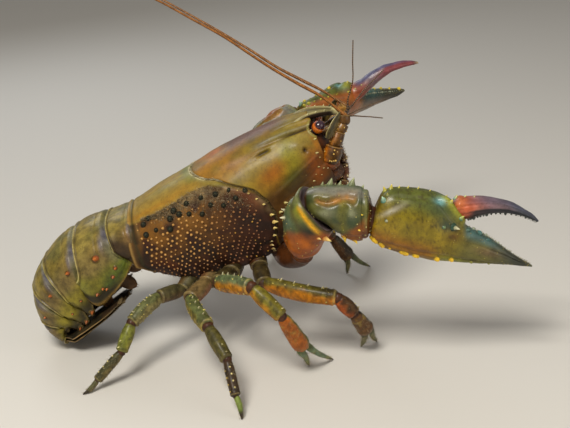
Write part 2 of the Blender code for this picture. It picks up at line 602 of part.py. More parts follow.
def cheliped(side, word, arm):
    origin = np.array(arm["wrist"], float)
    axes = frame_of(arm["along"], arm["mesial"], side)
    a, b, c = axes
    scale = CLAW_SCALE[side]
    elbow = np.array(arm["path"][-1], float)
    carpus_way = unit(origin - elbow)
    merus_way = unit(elbow - np.array(arm["path"][-2], float))
    elbow_plane = (elbow, unit(merus_way + carpus_way))
    wrist_plane = (origin, unit(carpus_way + a))

    root = body(50.0, side * 13.0, curve(50.0, STATION, BOTTOM) - GAP)
    down = body_turn((0, 0, -1))
    path = [root, root + down * 3.0] + [np.array(p, float) for p in arm["path"]]
    halves = [(4.2, 4.6), (4.4, 4.8), (4.8, 5.2), (5.6, 6.4), (7.0, 8.8), (8.6, 12.0), (7.4, 9.8)]
    arm_mesh = sweep(path, halves, b, start=(root, down), end=(*elbow_plane, -GAP / 2), sides=10)
    spines = []
    for k, (w, h) in ((3, halves[3]), (4, halves[4])):
        for turn in (0.25, -0.5):
            out = unit(b * math.cos(turn) + c * math.sin(turn))
            spines.append(thorn(path[k] + out * h * 0.92, out - carpus_way * 0.25, 2.2, 1.3, 5, 1.4))
    part(f"arm_{word}", "arm", arm_mesh, spines)

    run = float(np.linalg.norm(origin - elbow))
    across, rise = bow(12, 2.5)
    rings = []
    wrist_b = unit(b - carpus_way * (b @ carpus_way))
    wrist_c = np.cross(carpus_way, wrist_b)
    for s, hi, lo, thick in CARPUS:
        middle = elbow + carpus_way * (s / CARPUS[-1][0]) * run + wrist_b * scale * (hi + lo) / 2
        rings.append(middle + np.outer(rise, wrist_b) * scale * (hi - lo) / 2
                     + np.outer(across, wrist_c) * scale * thick / 2)
    for k in (1, 2, 3):
        rings[k] = behind(rings[k], -carpus_way, elbow, -unit(elbow_plane[1]), 0.8)
        rings[k] = behind(rings[k], carpus_way, origin, unit(wrist_plane[1]), 0.8)
    rings[0] = on_plane(rings[0], carpus_way, *elbow_plane, GAP / 2)
    rings[-1] = on_plane(rings[-1], carpus_way, *wrist_plane, -GAP / 2)
    spines = []
    for s, length in ((0.3, 2.2), (0.55, 3.2), (0.8, 2.4)):
        at = elbow + carpus_way * run * s + wrist_b * scale * np.interp(s * 24.6, [r[0] for r in CARPUS],
                                                                        [r[1] for r in CARPUS])
        spines.append(thorn(at, wrist_b + carpus_way * 0.5, length, 1.4, 5, 1.6))
    low = elbow + carpus_way * run * 0.5 + wrist_b * scale * -7.2
    spines.append(thorn(low, -wrist_b + carpus_way * 0.4, 2.2, 1.4, 5, 1.6))
    part(f"carpus_{word}", "claw", loft(rings), spines)

    rings = plate_rings(origin, axes, PALM, scale, 14, 2.6)
    rings[0] = on_plane(rings[0], a, *wrist_plane, GAP / 2)
    tip = origin + scale * (PALM_TIP[0] * a + PALM_TIP[1] * b)
    spines = []
    for s in (5.5, 10.5, 15.5, 20.5, 25.5):
        edge = np.interp(s, [p[0][0] for p in PALM[:5]], [p[0][1] for p in PALM[:5]])
        spines.append(thorn(origin + scale * (s * a + edge * b), b + a * 0.35, 2.2, 1.5, 5, 1.8))
    for k in range(10):
        s = 10.0 + 4.6 * k
        edge = np.interp(s, [p[1][0] for p in PALM], [p[1][1] for p in PALM])
        grow = 1.8 - 0.09 * k
        spines.append(thorn(origin + scale * (s * a + edge * b), -b + a * 0.4, grow, grow * 0.75, 5, 1.4))
    for s, across_at in ((40.5, 7.0), (45.0, 6.1), (49.5, 5.1), (54.0, 4.2)):
        spines.append(thorn(origin + scale * (s * a + across_at * b), b, 0.9, 0.9, 4, 1.0))
    part(f"propodus_{word}", "claw", loft(rings, tip=tip), spines)

    turn = DACTYL_OPEN[side]
    hinge = origin + scale * (DACTYL_HINGE[0] * a + DACTYL_HINGE[1] * b)
    rings = plate_rings(origin, axes, DACTYL, scale, 10, 2.3)
    cos, sin = math.cos(turn), math.sin(turn)

    def swing(p):
        d = np.asarray(p) - hinge
        u, v, w = d @ a, d @ b, d @ c
        return hinge + np.multiply.outer(u * cos - v * sin, a) + np.multiply.outer(u * sin + v * cos, b) \
            + np.multiply.outer(w, c)

    rings = [rings[0]] + [swing(r) for r in rings[1:]]
    tip = swing(origin + scale * (DACTYL_TIP[0] * a + DACTYL_TIP[1] * b))
    spines = []
    for (ma, mb), (la, lb), thick in DACTYL[1:4]:
        at = swing(origin + scale * (la * a + lb * b))
        spines.append(thorn(at, swing(at) * 0 - (b * cos - a * sin), 0.9, 0.9, 4, 1.0))
    part(f"dactyl_{word}", "dactyl", loft(rings, tip=tip), spines)


def leg(number, side, word, plan):
    girth = LEG_GIRTH[number]
    station = LEG_STATION[number]
    root = body(station, side * 12.5, curve(station, STATION, BOTTOM) - GAP)
    down = body_turn((0, 0, -1))
    path = [root, root + down * 3.4] + [np.array(p, float) for p in plan["upper"]]
    knee, wrist = path[-1], np.array(plan["carpus"], float)
    palm = np.array(plan["palm"], float)
    tips = [np.array(t, float) for t in plan["tips"]]
    merus_way, carpus_way, palm_way = unit(knee - path[-2]), unit(wrist - knee), unit(palm - wrist)
    knee_plane = (knee, unit(merus_way + carpus_way))
    wrist_plane = (wrist, unit(carpus_way + palm_way))
    up = (0.0, 0.0, 1.0)
    halves = [(girth * 1.1, girth * 1.1), (girth * 1.1, girth * 1.1), (girth * 1.05, girth * 1.05),
              (girth * 0.9, girth * 1.0), (girth * 0.95, girth * 1.2), (girth * 0.82, girth * 0.95)]
    spines = []
    for k in (3, 4):
        spines.append(thorn(path[k] + (0, 0, halves[k][1] * 0.9), merus_way * 0.5 + np.array(up), 1.3, 0.9))
    part(f"leg_{number}_upper_{word}", "leg",
         sweep(path, halves, (0.9, 0.1, 1.0), start=(root, down), end=(*knee_plane, -GAP / 2)), spines)
    middle = knee + (wrist - knee) * 0.45
    lift = unit(merus_way - carpus_way + np.array(up) * 0.3)
    part(f"leg_{number}_carpus_{word}", "leg",
         sweep([knee, knee + (wrist - knee) * 0.2, middle + lift * 0.3, wrist],
               [(girth * 0.7, girth * 0.8), (girth * 0.8, girth * 0.92), (girth * 0.78, girth * 0.9),
                (girth * 0.68, girth * 0.76)], lift,
               start=(*knee_plane, GAP / 2), end=(*wrist_plane, -GAP / 2)))
    floor = (np.zeros(3), np.array([0.0, 0.0, -1.0]))
    if len(tips) == 1:
        tip = tips[0]
        toe = palm + (tip - palm) * 0.16
        part(f"leg_{number}_foot_{word}", "leg",
             sweep([wrist, wrist + (palm - wrist) * 0.25, wrist + (palm - wrist) * 0.75, palm, toe,
                    palm + (tip - palm) * 0.5, tip],
                   [(girth * 0.62, girth * 0.68), (girth * 0.66, girth * 0.72), (girth * 0.56, girth * 0.6),
                    (girth * 0.46, girth * 0.48), (girth * 0.36, girth * 0.38), (girth * 0.3, girth * 0.32),
                    (0.55, 0.55)], up if abs(palm_way[2]) < 0.97 else (1, 0, 0),
                   start=(*wrist_plane, GAP / 2), end=floor))
        return
    spread = unit(tips[1] - tips[0])
    lift = unit(np.cross(palm_way, np.cross(spread, palm_way)))
    main = sweep([wrist, wrist + (palm - wrist) * 0.3, wrist + (palm - wrist) * 0.8,
                  palm + (tips[0] - palm) * 0.12 - lift * 0.5, palm + (tips[0] - palm) * 0.5, tips[0]],
                 [(girth * 0.62, girth * 0.7), (girth * 0.72, girth * 0.95), (girth * 0.74, girth * 1.0),
                  (girth * 0.5, girth * 0.6), (girth * 0.34, girth * 0.36), (0.55, 0.55)], lift,
                 start=(*wrist_plane, GAP / 2), end=floor)
    second = sweep([palm - palm_way * 3.0 + lift * girth * 0.35, palm + (tips[1] - palm) * 0.25 + lift * 0.6,
                    palm + (tips[1] - palm) * 0.6, tips[1]],
                   [(girth * 0.42, girth * 0.42), (girth * 0.46, girth * 0.48), (girth * 0.34, girth * 0.36),
                    (0.55, 0.55)], lift, end=floor, sides=6)
    part(f"leg_{number}_foot_{word}", "leg", main, [second])


def build():
    for obj in list(bpy.data.objects):
        bpy.data.objects.remove(obj, do_unlink=True)
    carapace()
    abdomen()
    tail_fan()
    head()
    for side, word, arm, legs in ((-1, "right", RIGHT_ARM, RIGHT_LEGS), (1, "left", LEFT_ARM, LEFT_LEGS)):
        cheliped(side, word, arm)
        for number, plan in legs.items():
            leg(number, side, word, plan)


build()
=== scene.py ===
"""Life-size display model of a large spiny freshwater crayfish, standing on its walking legs.

Shapes are worked out in millimetres, x towards the head, y to the animal's left, z up, and become
metres in the part's frame when a piece is made. P is a grid of points and N its outward directions,
t is the share of the way along a form and turn the angle round it.
"""

import math

import bpy
import numpy as np
from mathutils import Matrix


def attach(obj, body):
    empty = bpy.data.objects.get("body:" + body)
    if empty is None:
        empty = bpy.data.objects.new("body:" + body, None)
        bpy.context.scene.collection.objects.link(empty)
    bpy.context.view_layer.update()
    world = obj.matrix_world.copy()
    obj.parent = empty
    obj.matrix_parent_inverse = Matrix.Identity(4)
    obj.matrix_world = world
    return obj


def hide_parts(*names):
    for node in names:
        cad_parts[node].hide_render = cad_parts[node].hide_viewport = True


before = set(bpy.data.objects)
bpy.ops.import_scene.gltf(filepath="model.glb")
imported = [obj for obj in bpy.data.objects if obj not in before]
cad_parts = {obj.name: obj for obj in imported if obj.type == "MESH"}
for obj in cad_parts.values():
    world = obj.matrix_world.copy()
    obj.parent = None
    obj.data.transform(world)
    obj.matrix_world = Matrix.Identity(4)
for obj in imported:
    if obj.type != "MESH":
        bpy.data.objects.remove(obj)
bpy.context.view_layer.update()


# Stage: a plain pale floor, a large soft light over the front, a second from the left and a weak
# rim light. The camera looks 20 degrees down at the animal's right side, rolled by 4 degrees.
floor_mesh = bpy.data.meshes.new("floor")
floor_mesh.from_pydata([(-6, -6, 0), (6, -6, 0), (6, 6, 0), (-6, 6, 0)], [], [(0, 1, 2, 3)])
floor = bpy.data.objects.new("floor", floor_mesh)
bpy.context.scene.collection.objects.link(floor)
floor_finish = bpy.data.materials.new("floor_finish")
floor_finish.use_nodes = True
floor_shader = floor_finish.node_tree.nodes["Principled BSDF"]
floor_shader.inputs["Base Color"].default_value = (0.70, 0.68, 0.64, 1.0)
floor_shader.inputs["Roughness"].default_value = 0.75
floor_mesh.materials.append(floor_finish)

sky = bpy.data.worlds.new("studio")
sky.use_nodes = True
sky.node_tree.nodes["Background"].inputs["Color"].default_value = (1.0, 0.955, 0.885, 1.0)
sky.node_tree.nodes["Background"].inputs["Strength"].default_value = 0.23
bpy.context.scene.world = sky
bpy.context.scene.view_settings.view_transform = "Standard"


def softbox(name, place, target, size, power, colour):
    """A square area light at a place, facing a target."""
    light = bpy.data.lights.new(name, "AREA")
    light.shape = "SQUARE"
    light.size = size
    light.energy = power
    light.color = colour
    holder = bpy.data.objects.new(name, light)
    way = np.array(place, float) - target
    way = way / np.linalg.norm(way)
    side = np.cross((0.0, 0.0, 1.0), way)
    side = side / np.linalg.norm(side)
    rise = np.cross(way, side)
    turn = np.eye(4)
    turn[:3, 0], turn[:3, 1], turn[:3, 2], turn[:3, 3] = side, rise, way, place
    holder.matrix_world = Matrix(turn.tolist())
    bpy.context.scene.collection.objects.link(holder)


softbox("key", (-0.16, -0.42, 0.62), (0.0, 0.0, 0.06), 0.22, 4.6, (1.0, 0.95, 0.86))
softbox("fill", (0.55, -0.35, 0.30), (0.0, 0.0, 0.05), 0.40, 0.8, (1.0, 0.93, 0.84))
softbox("rim", (-0.25, 0.55, 0.45), (0.0, 0.0, 0.06), 0.30, 0.9, (0.92, 0.96, 1.0))

camera = bpy.data.objects.new("camera", bpy.data.cameras.new("camera"))
bpy.context.scene.collection.objects.link(camera)
down, roll = math.radians(20.0), math.radians(4.0)
ahead = np.array([0.0, math.cos(down), -math.sin(down)])
level = np.array([1.0, 0.0, 0.0])
upright = np.array([0.0, math.sin(down), math.cos(down)])
seat = np.eye(4)
seat[:3, 0] = math.cos(roll) * level - math.sin(roll) * upright
seat[:3, 1] = math.sin(roll) * level + math.cos(roll) * upright
seat[:3, 2] = -ahead
seat[:3, 3] = (0.0078, -0.46215, 0.21888)
camera.matrix_world = Matrix(seat.tolist())
camera.data.lens = 70.0
camera.data.sensor_width = 36.0
camera.data.clip_start = 0.01
bpy.context.scene.camera = camera


# Carapace: the single shield over head and chest, hard calcified shell with a wet gloss. It is
# smooth and olive on the back, and behind the neck groove the flanks are dark red-brown and set
# with rows of rounded yellow tubercles. Cast in one with its rims, ridges and eye hollows.
CENTRE = np.array([-7.8, 6.4, 0.0])
REAR = np.array([-64.7, 0.0, 62.9])
PITCH = math.radians(20.85)
STATION = [-6, 0, 8, 15, 22, 30, 40, 50, 58, 66, 74, 80, 84, 90]
TOP = [0.2, 0.8, 2.0, 3.1, 3.9, 4.8, 6.3, 7.1, 7.4, 7.5, 7.2, 6.4, 5.7, 4.5]
HALF_WIDTH = [19.5, 20.6, 22.6, 23.6, 24.1, 24.3, 24.0, 22.9, 21.2, 19.2, 17.0, 15.2, 13.8, 12.0]
WIDEST = [-15, -16, -18, -19.5, -20.5, -21, -20.5, -19, -17.2, -15, -12.8, -11.2, -10.4, -10]
BOTTOM = [-26.5, -31, -35, -37, -38.4, -39.6, -40.3, -40, -38, -35, -31.5, -28.6, -26.6, -24]
GROOVE = 28.9
GROOVE_ANGLE = [0, 12, 24.8, 36, 43, 54, 61, 68.2, 73, 82, 93, 116, 180]
GROOVE_AHEAD = [0, 0.6, 2.9, 6.5, 10.3, 14.5, 17.7, 21.3, 23.3, 25.3, 27.4, 24.3, 22.0]
FLANK_X = [0, 10, 18, 26, 34, 43, 50, 56]
FLANK_EDGE = [45, 44, 43, 40, 43, 55, 70, 82]
FRONT = 84.0
EYE = (86.9, 9.7, 0.2)


def tint(code):
    """A colour written rrggbb, as linear light: a row each for a list, worked-out colours as they are."""
    if isinstance(code, list):
        return np.array([tint(one) for one in code])
    if not isinstance(code, str):
        return code
    c = np.array([int(code[k:k + 2], 16) for k in (0, 2, 4)]) / 255
    return np.where(c <= 0.04045, c / 12.92, ((c + 0.055) / 1.055) ** 2.4)


def over(under, colour, share):
    """Lays a colour on colours, by a share from 0 to 1."""
    share = np.clip(np.asarray(share, float), 0, 1)[..., None]
    return tint(under) * (1 - share) + tint(colour) * share


def coats(paint, layers):
    """Lays colours on the paint one after the other: each layer is a colour and its share."""
    for colour, share in layers:
        paint = over(paint, colour, share)
    return paint


def fade(x, low, high):
    """0 at low and before, 1 at high and after, an S curve between."""
    t = np.clip((x - low) / (high - low), 0, 1)
    return t * t * (3 - 2 * t)


def ebb(x, low, high):
    """1 at low and before, 0 at high and after, an S curve between."""
    return 1 - fade(x, low, high)


def bell(x, middle, width):
    """1 at the middle, falling off as a Gaussian of that width."""
    return np.exp(-(((x - middle) / width) ** 2))


def spot(x, y, middle_x, middle_y, width_x, width_y):
    """1 at a middle, falling off as a Gaussian with a width of its own each way."""
    return np.exp(-(((x - middle_x) / width_x) ** 2) - ((y - middle_y) / width_y) ** 2)


def blunt(wave, power):
    """A sine or cosine raised to a power with its sign kept: less than 1 makes a section boxier."""
    return np.sign(wave) * np.abs(wave) ** power


def unit(v):
    """A vector, or each of many, made 1 long."""
    return v / np.maximum(np.linalg.norm(v, axis=-1, keepdims=True), 1e-9)


def table(x, xs, ys):
    """Smooth curve through a table: a cubic between each two entries, slopes from the neighbours."""
    xs, ys, x = np.asarray(xs, float), np.asarray(ys, float), np.asarray(x, float)
    slope = np.gradient(ys, xs)
    i = np.clip(np.searchsorted(xs, x) - 1, 0, len(xs) - 2)
    h = xs[i + 1] - xs[i]
    t = np.clip((x - xs[i]) / h, 0, 1)
    a = (1 + 2 * t) * (1 - t) ** 2 * ys[i] + t * (1 - t) ** 2 * h * slope[i]
    return a + t * t * (3 - 2 * t) * ys[i + 1] - t * t * (1 - t) * h * slope[i + 1]


def cloud(p, size, seed=0.0):
    """Soft random field from 0 to 1: a value for each corner of a lattice, blended between them."""
    q = np.asarray(p) / size + seed * 7.31
    cell = np.floor(q)
    f = q - cell
    f = f * f * (3 - 2 * f)
    total = 0.0
    for corner in range(8):
        step = np.array([corner & 1, corner >> 1 & 1, corner >> 2 & 1])
        h = np.sin((cell + step) @ np.array([12.9898, 78.233, 37.719])) * 43758.5453
        total = total + np.prod(np.where(step, f, 1 - f), -1) * (h - np.floor(h))
    return total


def ripple(p, size, seed=0.0):
    """The same field, from -0.5 to 0.5."""
    return cloud(p, size, seed) - 0.5


def clouds(p, size, seed, low, high):
    """The same field as a share: 0 where it is under low, 1 where it is over high."""
    return fade(cloud(p, size, seed), low, high)


def circle(count):
    """Angles evenly spaced round a circle."""
    return np.arange(count) * 2 * math.pi / count


def body(x, y, z):
    """Body frame to world: the body is pitched nose up about the rear edge of the carapace."""
    x, y, z = np.broadcast_arrays(*(np.asarray(v, float) for v in (x, y, z)))
    c, s = math.cos(PITCH), math.sin(PITCH)
    return REAR + np.stack([x * c - z * s, y, x * s + z * c], -1)


def heading(x, y, z):
    """A direction in the body frame, turned to the world."""
    return body(x, y, z) - REAR


def shell(x, angle):
    """Section of the carapace at x: a superellipse, rounder above its widest line, boxier below."""
    turn = np.radians(angle)
    top, wide, mid, low = (table(x, STATION, rows) for rows in (TOP, HALF_WIDTH, WIDEST, BOTTOM))
    power = np.where(np.abs(angle) <= 90, 2.3, 3.4)
    c, s = np.cos(turn), np.sin(turn)
    y = wide * np.sign(s) * np.abs(s) ** (2 / power)
    height = np.abs(c) ** (2 / power)
    z = np.where(np.abs(angle) <= 90, mid + (top - mid) * height, mid - (mid - low) * height)
    return body(x, -y, z)


def ring_line(s, angle):
    """Lines round the shell that follow its rear edge and the neck groove: body x at s and angle."""
    ahead_of = table(np.abs(angle), GROOVE_ANGLE, GROOVE_AHEAD)
    share = np.where(s < GROOVE, s / GROOVE, (FRONT - s) / (FRONT - GROOVE))
    x = s + share * ahead_of
    down_side = (shell(x, angle) - body(x, 0, 0)) @ np.array([-math.sin(PITCH), 0, math.cos(PITCH)])
    return x + 0.155 * (down_side - 0.8) * np.clip(1 - s / 15, 0, 1)


def grid_normals(P):
    """Normals of a closed grid from its neighbours, away from the middle of each row."""
    n = unit(np.cross(np.gradient(P, axis=0), np.roll(P, -1, 1) - np.roll(P, 1, 1)))
    out = ((P - P.mean(1, keepdims=True)) * n).sum(-1).mean()
    return n if out > 0 else -n


def form(P, colour, wet=0.7):
    """A grid of points as faces, closed round and with a fan of triangles at each end, facing out."""
    rows, cols = P.shape[:2]
    paint = np.concatenate([np.broadcast_to(colour, P.shape),
            np.broadcast_to(wet, P.shape[:2])[..., None]], -1)
    points, paint = P.reshape(-1, 3), paint.reshape(-1, 4)
    i = np.arange(rows - 1)[:, None] * cols
    j = np.arange(cols)[None]
    a, b = i + j, i + (j + 1) % cols
    quads = np.stack([a, b, b + cols, a + cols], -1).reshape(-1, 4)
    tris = np.zeros((0, 3), int)
    for row in (0, rows - 1):
        ring = row * cols + np.arange(cols)
        fan = np.stack([ring, np.roll(ring, -1), np.full(cols, len(points))], -1)
        tris = np.concatenate([tris, fan if row else fan[:, ::-1]])
        points = np.concatenate([points, points[ring].mean(0)[None]])
        paint = np.concatenate([paint, paint[ring].mean(0)[None]])
    p = points - points.mean(0)
    volume = (p[quads[:, 0]] * np.cross(p[quads[:, 1]], p[quads[:, 2]])).sum()
    volume += (p[quads[:, 0]] * np.cross(p[quads[:, 2]], p[quads[:, 3]])).sum()
    volume += (p[tris[:, 0]] * np.cross(p[tris[:, 1]], p[tris[:, 2]])).sum()
    if volume < 0:
        quads, tris = quads[:, ::-1], tris[:, ::-1]
    return points, paint, quads, tris


SPINE = ((0.0, 1.0), (0.25, 0.72), (0.55, 0.42), (0.85, 0.16))
KNOB = ((0.0, 1.0), (0.45, 0.86), (0.8, 0.56), (0.95, 0.28))
HAIR = ((0.0, 1.0), (0.5, 0.7))


def thorns(at, way, length, radius, root, tip, profile=SPINE, sides=7, lean=0.0, sink=0.5, wet=1.0):
    """Many like spines, knobs or hairs: rings of a profile round a line that leans as it grows."""
    at, way = np.atleast_2d(at).astype(float), unit(np.atleast_2d(way).astype(float))
    n = len(at)
    length = np.broadcast_to(np.asarray(length, float), n)[:, None]
    radius = np.broadcast_to(np.asarray(radius, float), n)[:, None]
    helper = np.where(np.abs(way[:, 2:]) < 0.8, (0.0, 0.0, 1.0), (0.0, 1.0, 0.0))
    side = unit(np.cross(way, helper))
    lift = np.cross(way, side)
    turn = circle(sides)
    ring = np.cos(turn)[:, None] * side[:, None] + np.sin(turn)[:, None] * lift[:, None]
    lean = np.broadcast_to(np.asarray(lean, float), (n, 3))
    rows, shades = [], []
    root, tip = np.broadcast_to(tint(root), (n, 3)), np.broadcast_to(tint(tip), (n, 3))
    for share, width in profile:
        middle = at - way * sink + (way * (share * (length + sink)) + lean * (share ** 2 * length))
        rows.append(middle[:, None] + ring * (width * radius)[..., None])
        shades.append(np.repeat(over(root, tip, np.full(n, share ** 0.8))[:, None], sides, 1))
    rows.append((at + way * length + lean * length)[:, None])
    shades.append(tip[:, None])
    points = np.concatenate(rows, 1)
    paint = np.concatenate(shades, 1)
    count = points.shape[1]
    k = np.arange(len(profile) - 1)[:, None] * sides
    j = np.arange(sides)[None]
    quads = np.stack([k + j, k + (j + 1) % sides, k + (j + 1) % sides + sides, k + j + sides],
            -1).reshape(-1, 4)
    last = (len(profile) - 1) * sides
    tris = np.stack([last + j[0], last + (j[0] + 1) % sides, np.full(sides, count - 1)], -1)
    step = np.arange(n)[:, None, None] * count
    paint = np.concatenate([paint, np.full((n, count, 1), wet)], -1)
    return (points.reshape(-1, 3), paint.reshape(-1, 4), (quads[None] + step).reshape(-1, 4),
            (tris[None] + step).reshape(-1, 3))


class Wire:
    """A socket in a material. Sums and products of wires add Math nodes; add() makes any other node."""

    def __init__(self, tree, socket=None):
        self.tree, self.socket = tree, socket

    def add(self, kind, settings=None, sockets=None, out=0):
        """A new node of a kind, with its settings and its sockets wired or filled; gives one output."""
        node = self.tree.nodes.new("ShaderNode" + kind)
        for key, value in (settings or {}).items():
            setattr(node, key, value)
        for key, value in (sockets or {}).items():
            if isinstance(value, Wire):
                self.tree.links.new(value.socket, node.inputs[key])
            else:
                node.inputs[key].default_value = value
        return Wire(self.tree, node.outputs[out])

    def math(self, operation, *values):
        """A Math node over wires and numbers; the operators below all use it."""
        return self.add("Math", {"operation": operation}, dict(enumerate(values)))

    def __add__(self, other):
        return self.math("ADD", self, other)

    def __sub__(self, other):
        return self.math("SUBTRACT", self, other)

    def __rsub__(self, other):
        return self.math("SUBTRACT", other, self)

    def __mul__(self, other):
        return self.math("MULTIPLY", self, other)

    __radd__ = __add__
    __rmul__ = __mul__

    def between(self, low, high):
        """0 below low, 1 above high."""
        return self.add("MapRange", {"interpolation_type": "SMOOTHSTEP"},
                {0: self, 1: low, 2: high, 3: 0.0, 4: 1.0})

    def blend(self, first, second):
        """Colour between first and second, by this wire's share."""
        return self.add("Mix", {"data_type": "RGBA"}, {0: self, 6: first, 7: second}, 2)

    def tone(self, colour, factors):
        """A colour times three fixed factors."""
        return self.add("Mix", {"data_type": "RGBA", "blend_type": "MULTIPLY"},
                {0: 1.0, 6: colour, 7: factors}, 2)


def shell_finish(name, rough=0.30, coat=0.5, grain=320.0, dark=0.62, light=1.25, bump=0.5, pits=0.35,
        relief=0.00012):
    """Painted shell: the paint laid in the mesh, clouded light and dark, fine pits, a wet clear coat."""
    material = bpy.data.materials.new(name)
    material.use_nodes = True
    tree = material.node_tree
    shader = tree.nodes["Principled BSDF"]
    w = Wire(tree)
    place = w.add("TexCoord", out=3)
    paint = w.add("Attribute", {"attribute_name": "paint"})
    wet = w.add("Attribute", {"attribute_name": "paint"}, out=3)
    mottle = w.add("TexNoise", {}, {"Vector": place, "Scale": grain, "Detail": 5.0, "Roughness": 0.65})
    grit = w.add("TexNoise", {}, {"Vector": place, "Scale": grain * 5.5, "Detail": 2.0})
    dots = w.add("TexVoronoi", {"feature": "F1"}, {"Vector": place, "Scale": grain * 3.4})
    darker = w.tone(paint, (dark, dark * 0.97, dark * 0.92, 1.0))
    lighter = w.tone(paint, (light, light * 0.99, light * 0.94, 1.0))
    colour = mottle.between(0.34, 0.66).blend(darker, lighter)
    speck = 1.0 - dots.between(0.10, 0.30)
    colour = (speck * pits).blend(colour, (0.02, 0.015, 0.008, 1.0))
    tree.links.new(colour.socket, shader.inputs["Base Color"])
    roughness = (1.0 - wet) * 0.42 + rough + (grit - 0.5) * 0.22
    tree.links.new(roughness.socket, shader.inputs["Roughness"])
    height = mottle * 0.9 + grit * 0.35 - speck * 0.5
    normal = w.add("Bump", {}, {"Height": height, "Strength": bump, "Distance": relief})
    tree.links.new(normal.socket, shader.inputs["Normal"])
    shader.inputs["Coat Weight"].default_value = coat
    shader.inputs["Coat Roughness"].default_value = 0.2
    shader.inputs["Specular IOR Level"].default_value = 0.30
    shader.inputs["IOR"].default_value = 1.5
    return material


def piece(name, forms, finish, nodes):
    """Joins forms into one object in the part's frame, in metres, and hides the solids it stands for."""
    start = np.cumsum([0] + [len(f[0]) for f in forms[:-1]])
    points = (np.concatenate([f[0] for f in forms]) - CENTRE) * 0.001
    paint = np.concatenate([f[1] for f in forms])
    quads = np.concatenate([f[2] + s for f, s in zip(forms, start)])
    tris = np.concatenate([f[3] + s for f, s in zip(forms, start)])
    corners = np.concatenate([quads.ravel(), tris.ravel()])
    sizes = np.concatenate([np.full(len(quads), 4), np.full(len(tris), 3)])
    mesh = bpy.data.meshes.new(name)
    mesh.vertices.add(len(points))
    mesh.vertices.foreach_set("co", points.astype(np.float32).ravel())
    mesh.loops.add(len(corners))
    mesh.loops.foreach_set("vertex_index", corners.astype(np.int32))
    mesh.polygons.add(len(sizes))
    mesh.polygons.foreach_set("loop_start", (np.cumsum(sizes) - sizes).astype(np.int32))
    mesh.polygons.foreach_set("use_smooth", np.ones(len(sizes), bool))
    layer = mesh.attributes.new("paint", "FLOAT_COLOR", "POINT")
    layer.data.foreach_set("color", np.clip(paint, 0, 1).astype(np.float32).ravel())
    mesh.update(calc_edges=True)
    mesh.materials.append(finish)
    made = bpy.data.objects.new(name, mesh)
    bpy.context.scene.collection.objects.link(made)
    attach(made, "root")
    if nodes:
        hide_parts(*nodes)


carapace_finish = shell_finish("carapace_finish", rough=0.44, coat=0.1, grain=300.0,
        dark=0.80, light=1.12)
bristle_finish = shell_finish("bristle_finish", rough=0.55, coat=0.0, grain=500.0, pits=0.0)

# stations along: close together at the neck groove; angles round: close together above the hem
REAR_EDGE = -2.6
s = np.concatenate([np.linspace(REAR_EDGE, 24, 58)[:-1], np.linspace(24, 33, 42)[:-1],
        np.linspace(33, FRONT, 122)])
half_angles = np.concatenate([np.linspace(0, 150, 158)[:-1], np.linspace(150, 180, 12)])
angles = np.concatenate([half_angles, -half_angles[-2:0:-1]])
S, A = np.meshgrid(s, angles, indexing="ij")
around = np.abs(A)
X = ring_line(S, A) + 5.2 * fade(around, 108, 142) * ebb(S, REAR_EDGE, 14.0)


def sag(x, around):
    """How far the flank hangs below its section: a band along its lower edge, none at the corners."""
    depth = 2.1 * fade(x, 1, 12) * ebb(x, 44, 60) * bell(around, 141, 13)
    return heading(0, 0, -1) * np.asarray(depth)[..., None]


P = shell(X, A) + sag(X, around)

# front: the shell turns in behind a low margin and closes over the face
middle = body(FRONT + 1.5, 0.0, -11.0)
front_rows = []
for ahead_by, scale in ((0.5, 0.985), (0.5, 0.955), (0.1, 0.93), (0.3, 0.88), (0.9, 0.8), (1.6, 0.7),
        (2.2, 0.55), (2.6, 0.4), (2.8, 0.2), (2.9, 0.05)):
    front_rows.append(middle + (P[-1] - middle) * scale + heading(ahead_by, 0, 0))
P = np.concatenate([P, np.array(front_rows)])
extra = len(front_rows)
S = np.concatenate([S, np.repeat(FRONT + 0.5 * np.arange(1, extra + 1)[:, None], len(angles), 1)])
A = np.concatenate([A, np.repeat(A[-1:], extra, 0)])
X = np.concatenate([X, np.repeat(X[-1:], extra, 0)])
around = np.abs(A)
N = grid_normals(P)
across_y = np.abs(P[..., 1])

behind_neck = 1 - fade(S, GROOVE - 0.6, GROOVE + 0.2)
neck = bell(S, GROOVE, 0.55) * ebb(around, 116, 124)
rear_rim = bell(S, REAR_EDGE + 0.45, 0.36) * ebb(around, 143, 147)
hem = bell(around, 142.5, 1.3) * ebb(S, 26, 30)
brow_line = table(X, [56, 62, 70, 76, 83], [33.5, 34.5, 37.0, 38.6, 40.6])
brow = bell(around, brow_line, 2.3) * fade(X, 58, 68) * ebb(S, 83.4, 84.2)
brow_slit = bell(around, brow_line + 4.3, 1.5) * fade(X, 70, 75.5) * ebb(X, 81.5, 83.5)
rear_brow = bell(around, 43.0, 2.4) * bell(X, 61.0, 4.6)
rear_slit = bell(around, 46.3 - (64 - X) * 0.2, 1.5) * fade(X, 57.5, 60.5) * ebb(X, 63.6, 65.6)
pit = bell(np.hypot(X - 78.1, (around - 72.2) * 0.27), 0, 1.0)
cheek_knob = bell(np.hypot(X - 76.4, (around - 62.5) * 0.27), 0, 2.4)
cheek = bell(np.hypot(X - 70.0, (around - 70.0) * 0.29), 0, 8.5)
cheek_fold = bell(around, 89.5 - (X - 60) * 0.12, 1.7) * fade(X, 57, 63) * ebb(X, 80, 83)
beak_edge = bell(across_y, 7.9 - (X - 74) * 0.12, 0.8) * fade(X, 66, 78) * (around < 60)
gill_line = bell(across_y, 4.6, 0.45) * behind_neck * fade(S, 3, 6) * (around < 60)
height = (0.42 * rear_rim - 0.42 * bell(S, REAR_EDGE + 1.7, 0.6)
        + 0.15 * bell(S, REAR_EDGE + 3.1, 0.3) - 0.8 * neck)
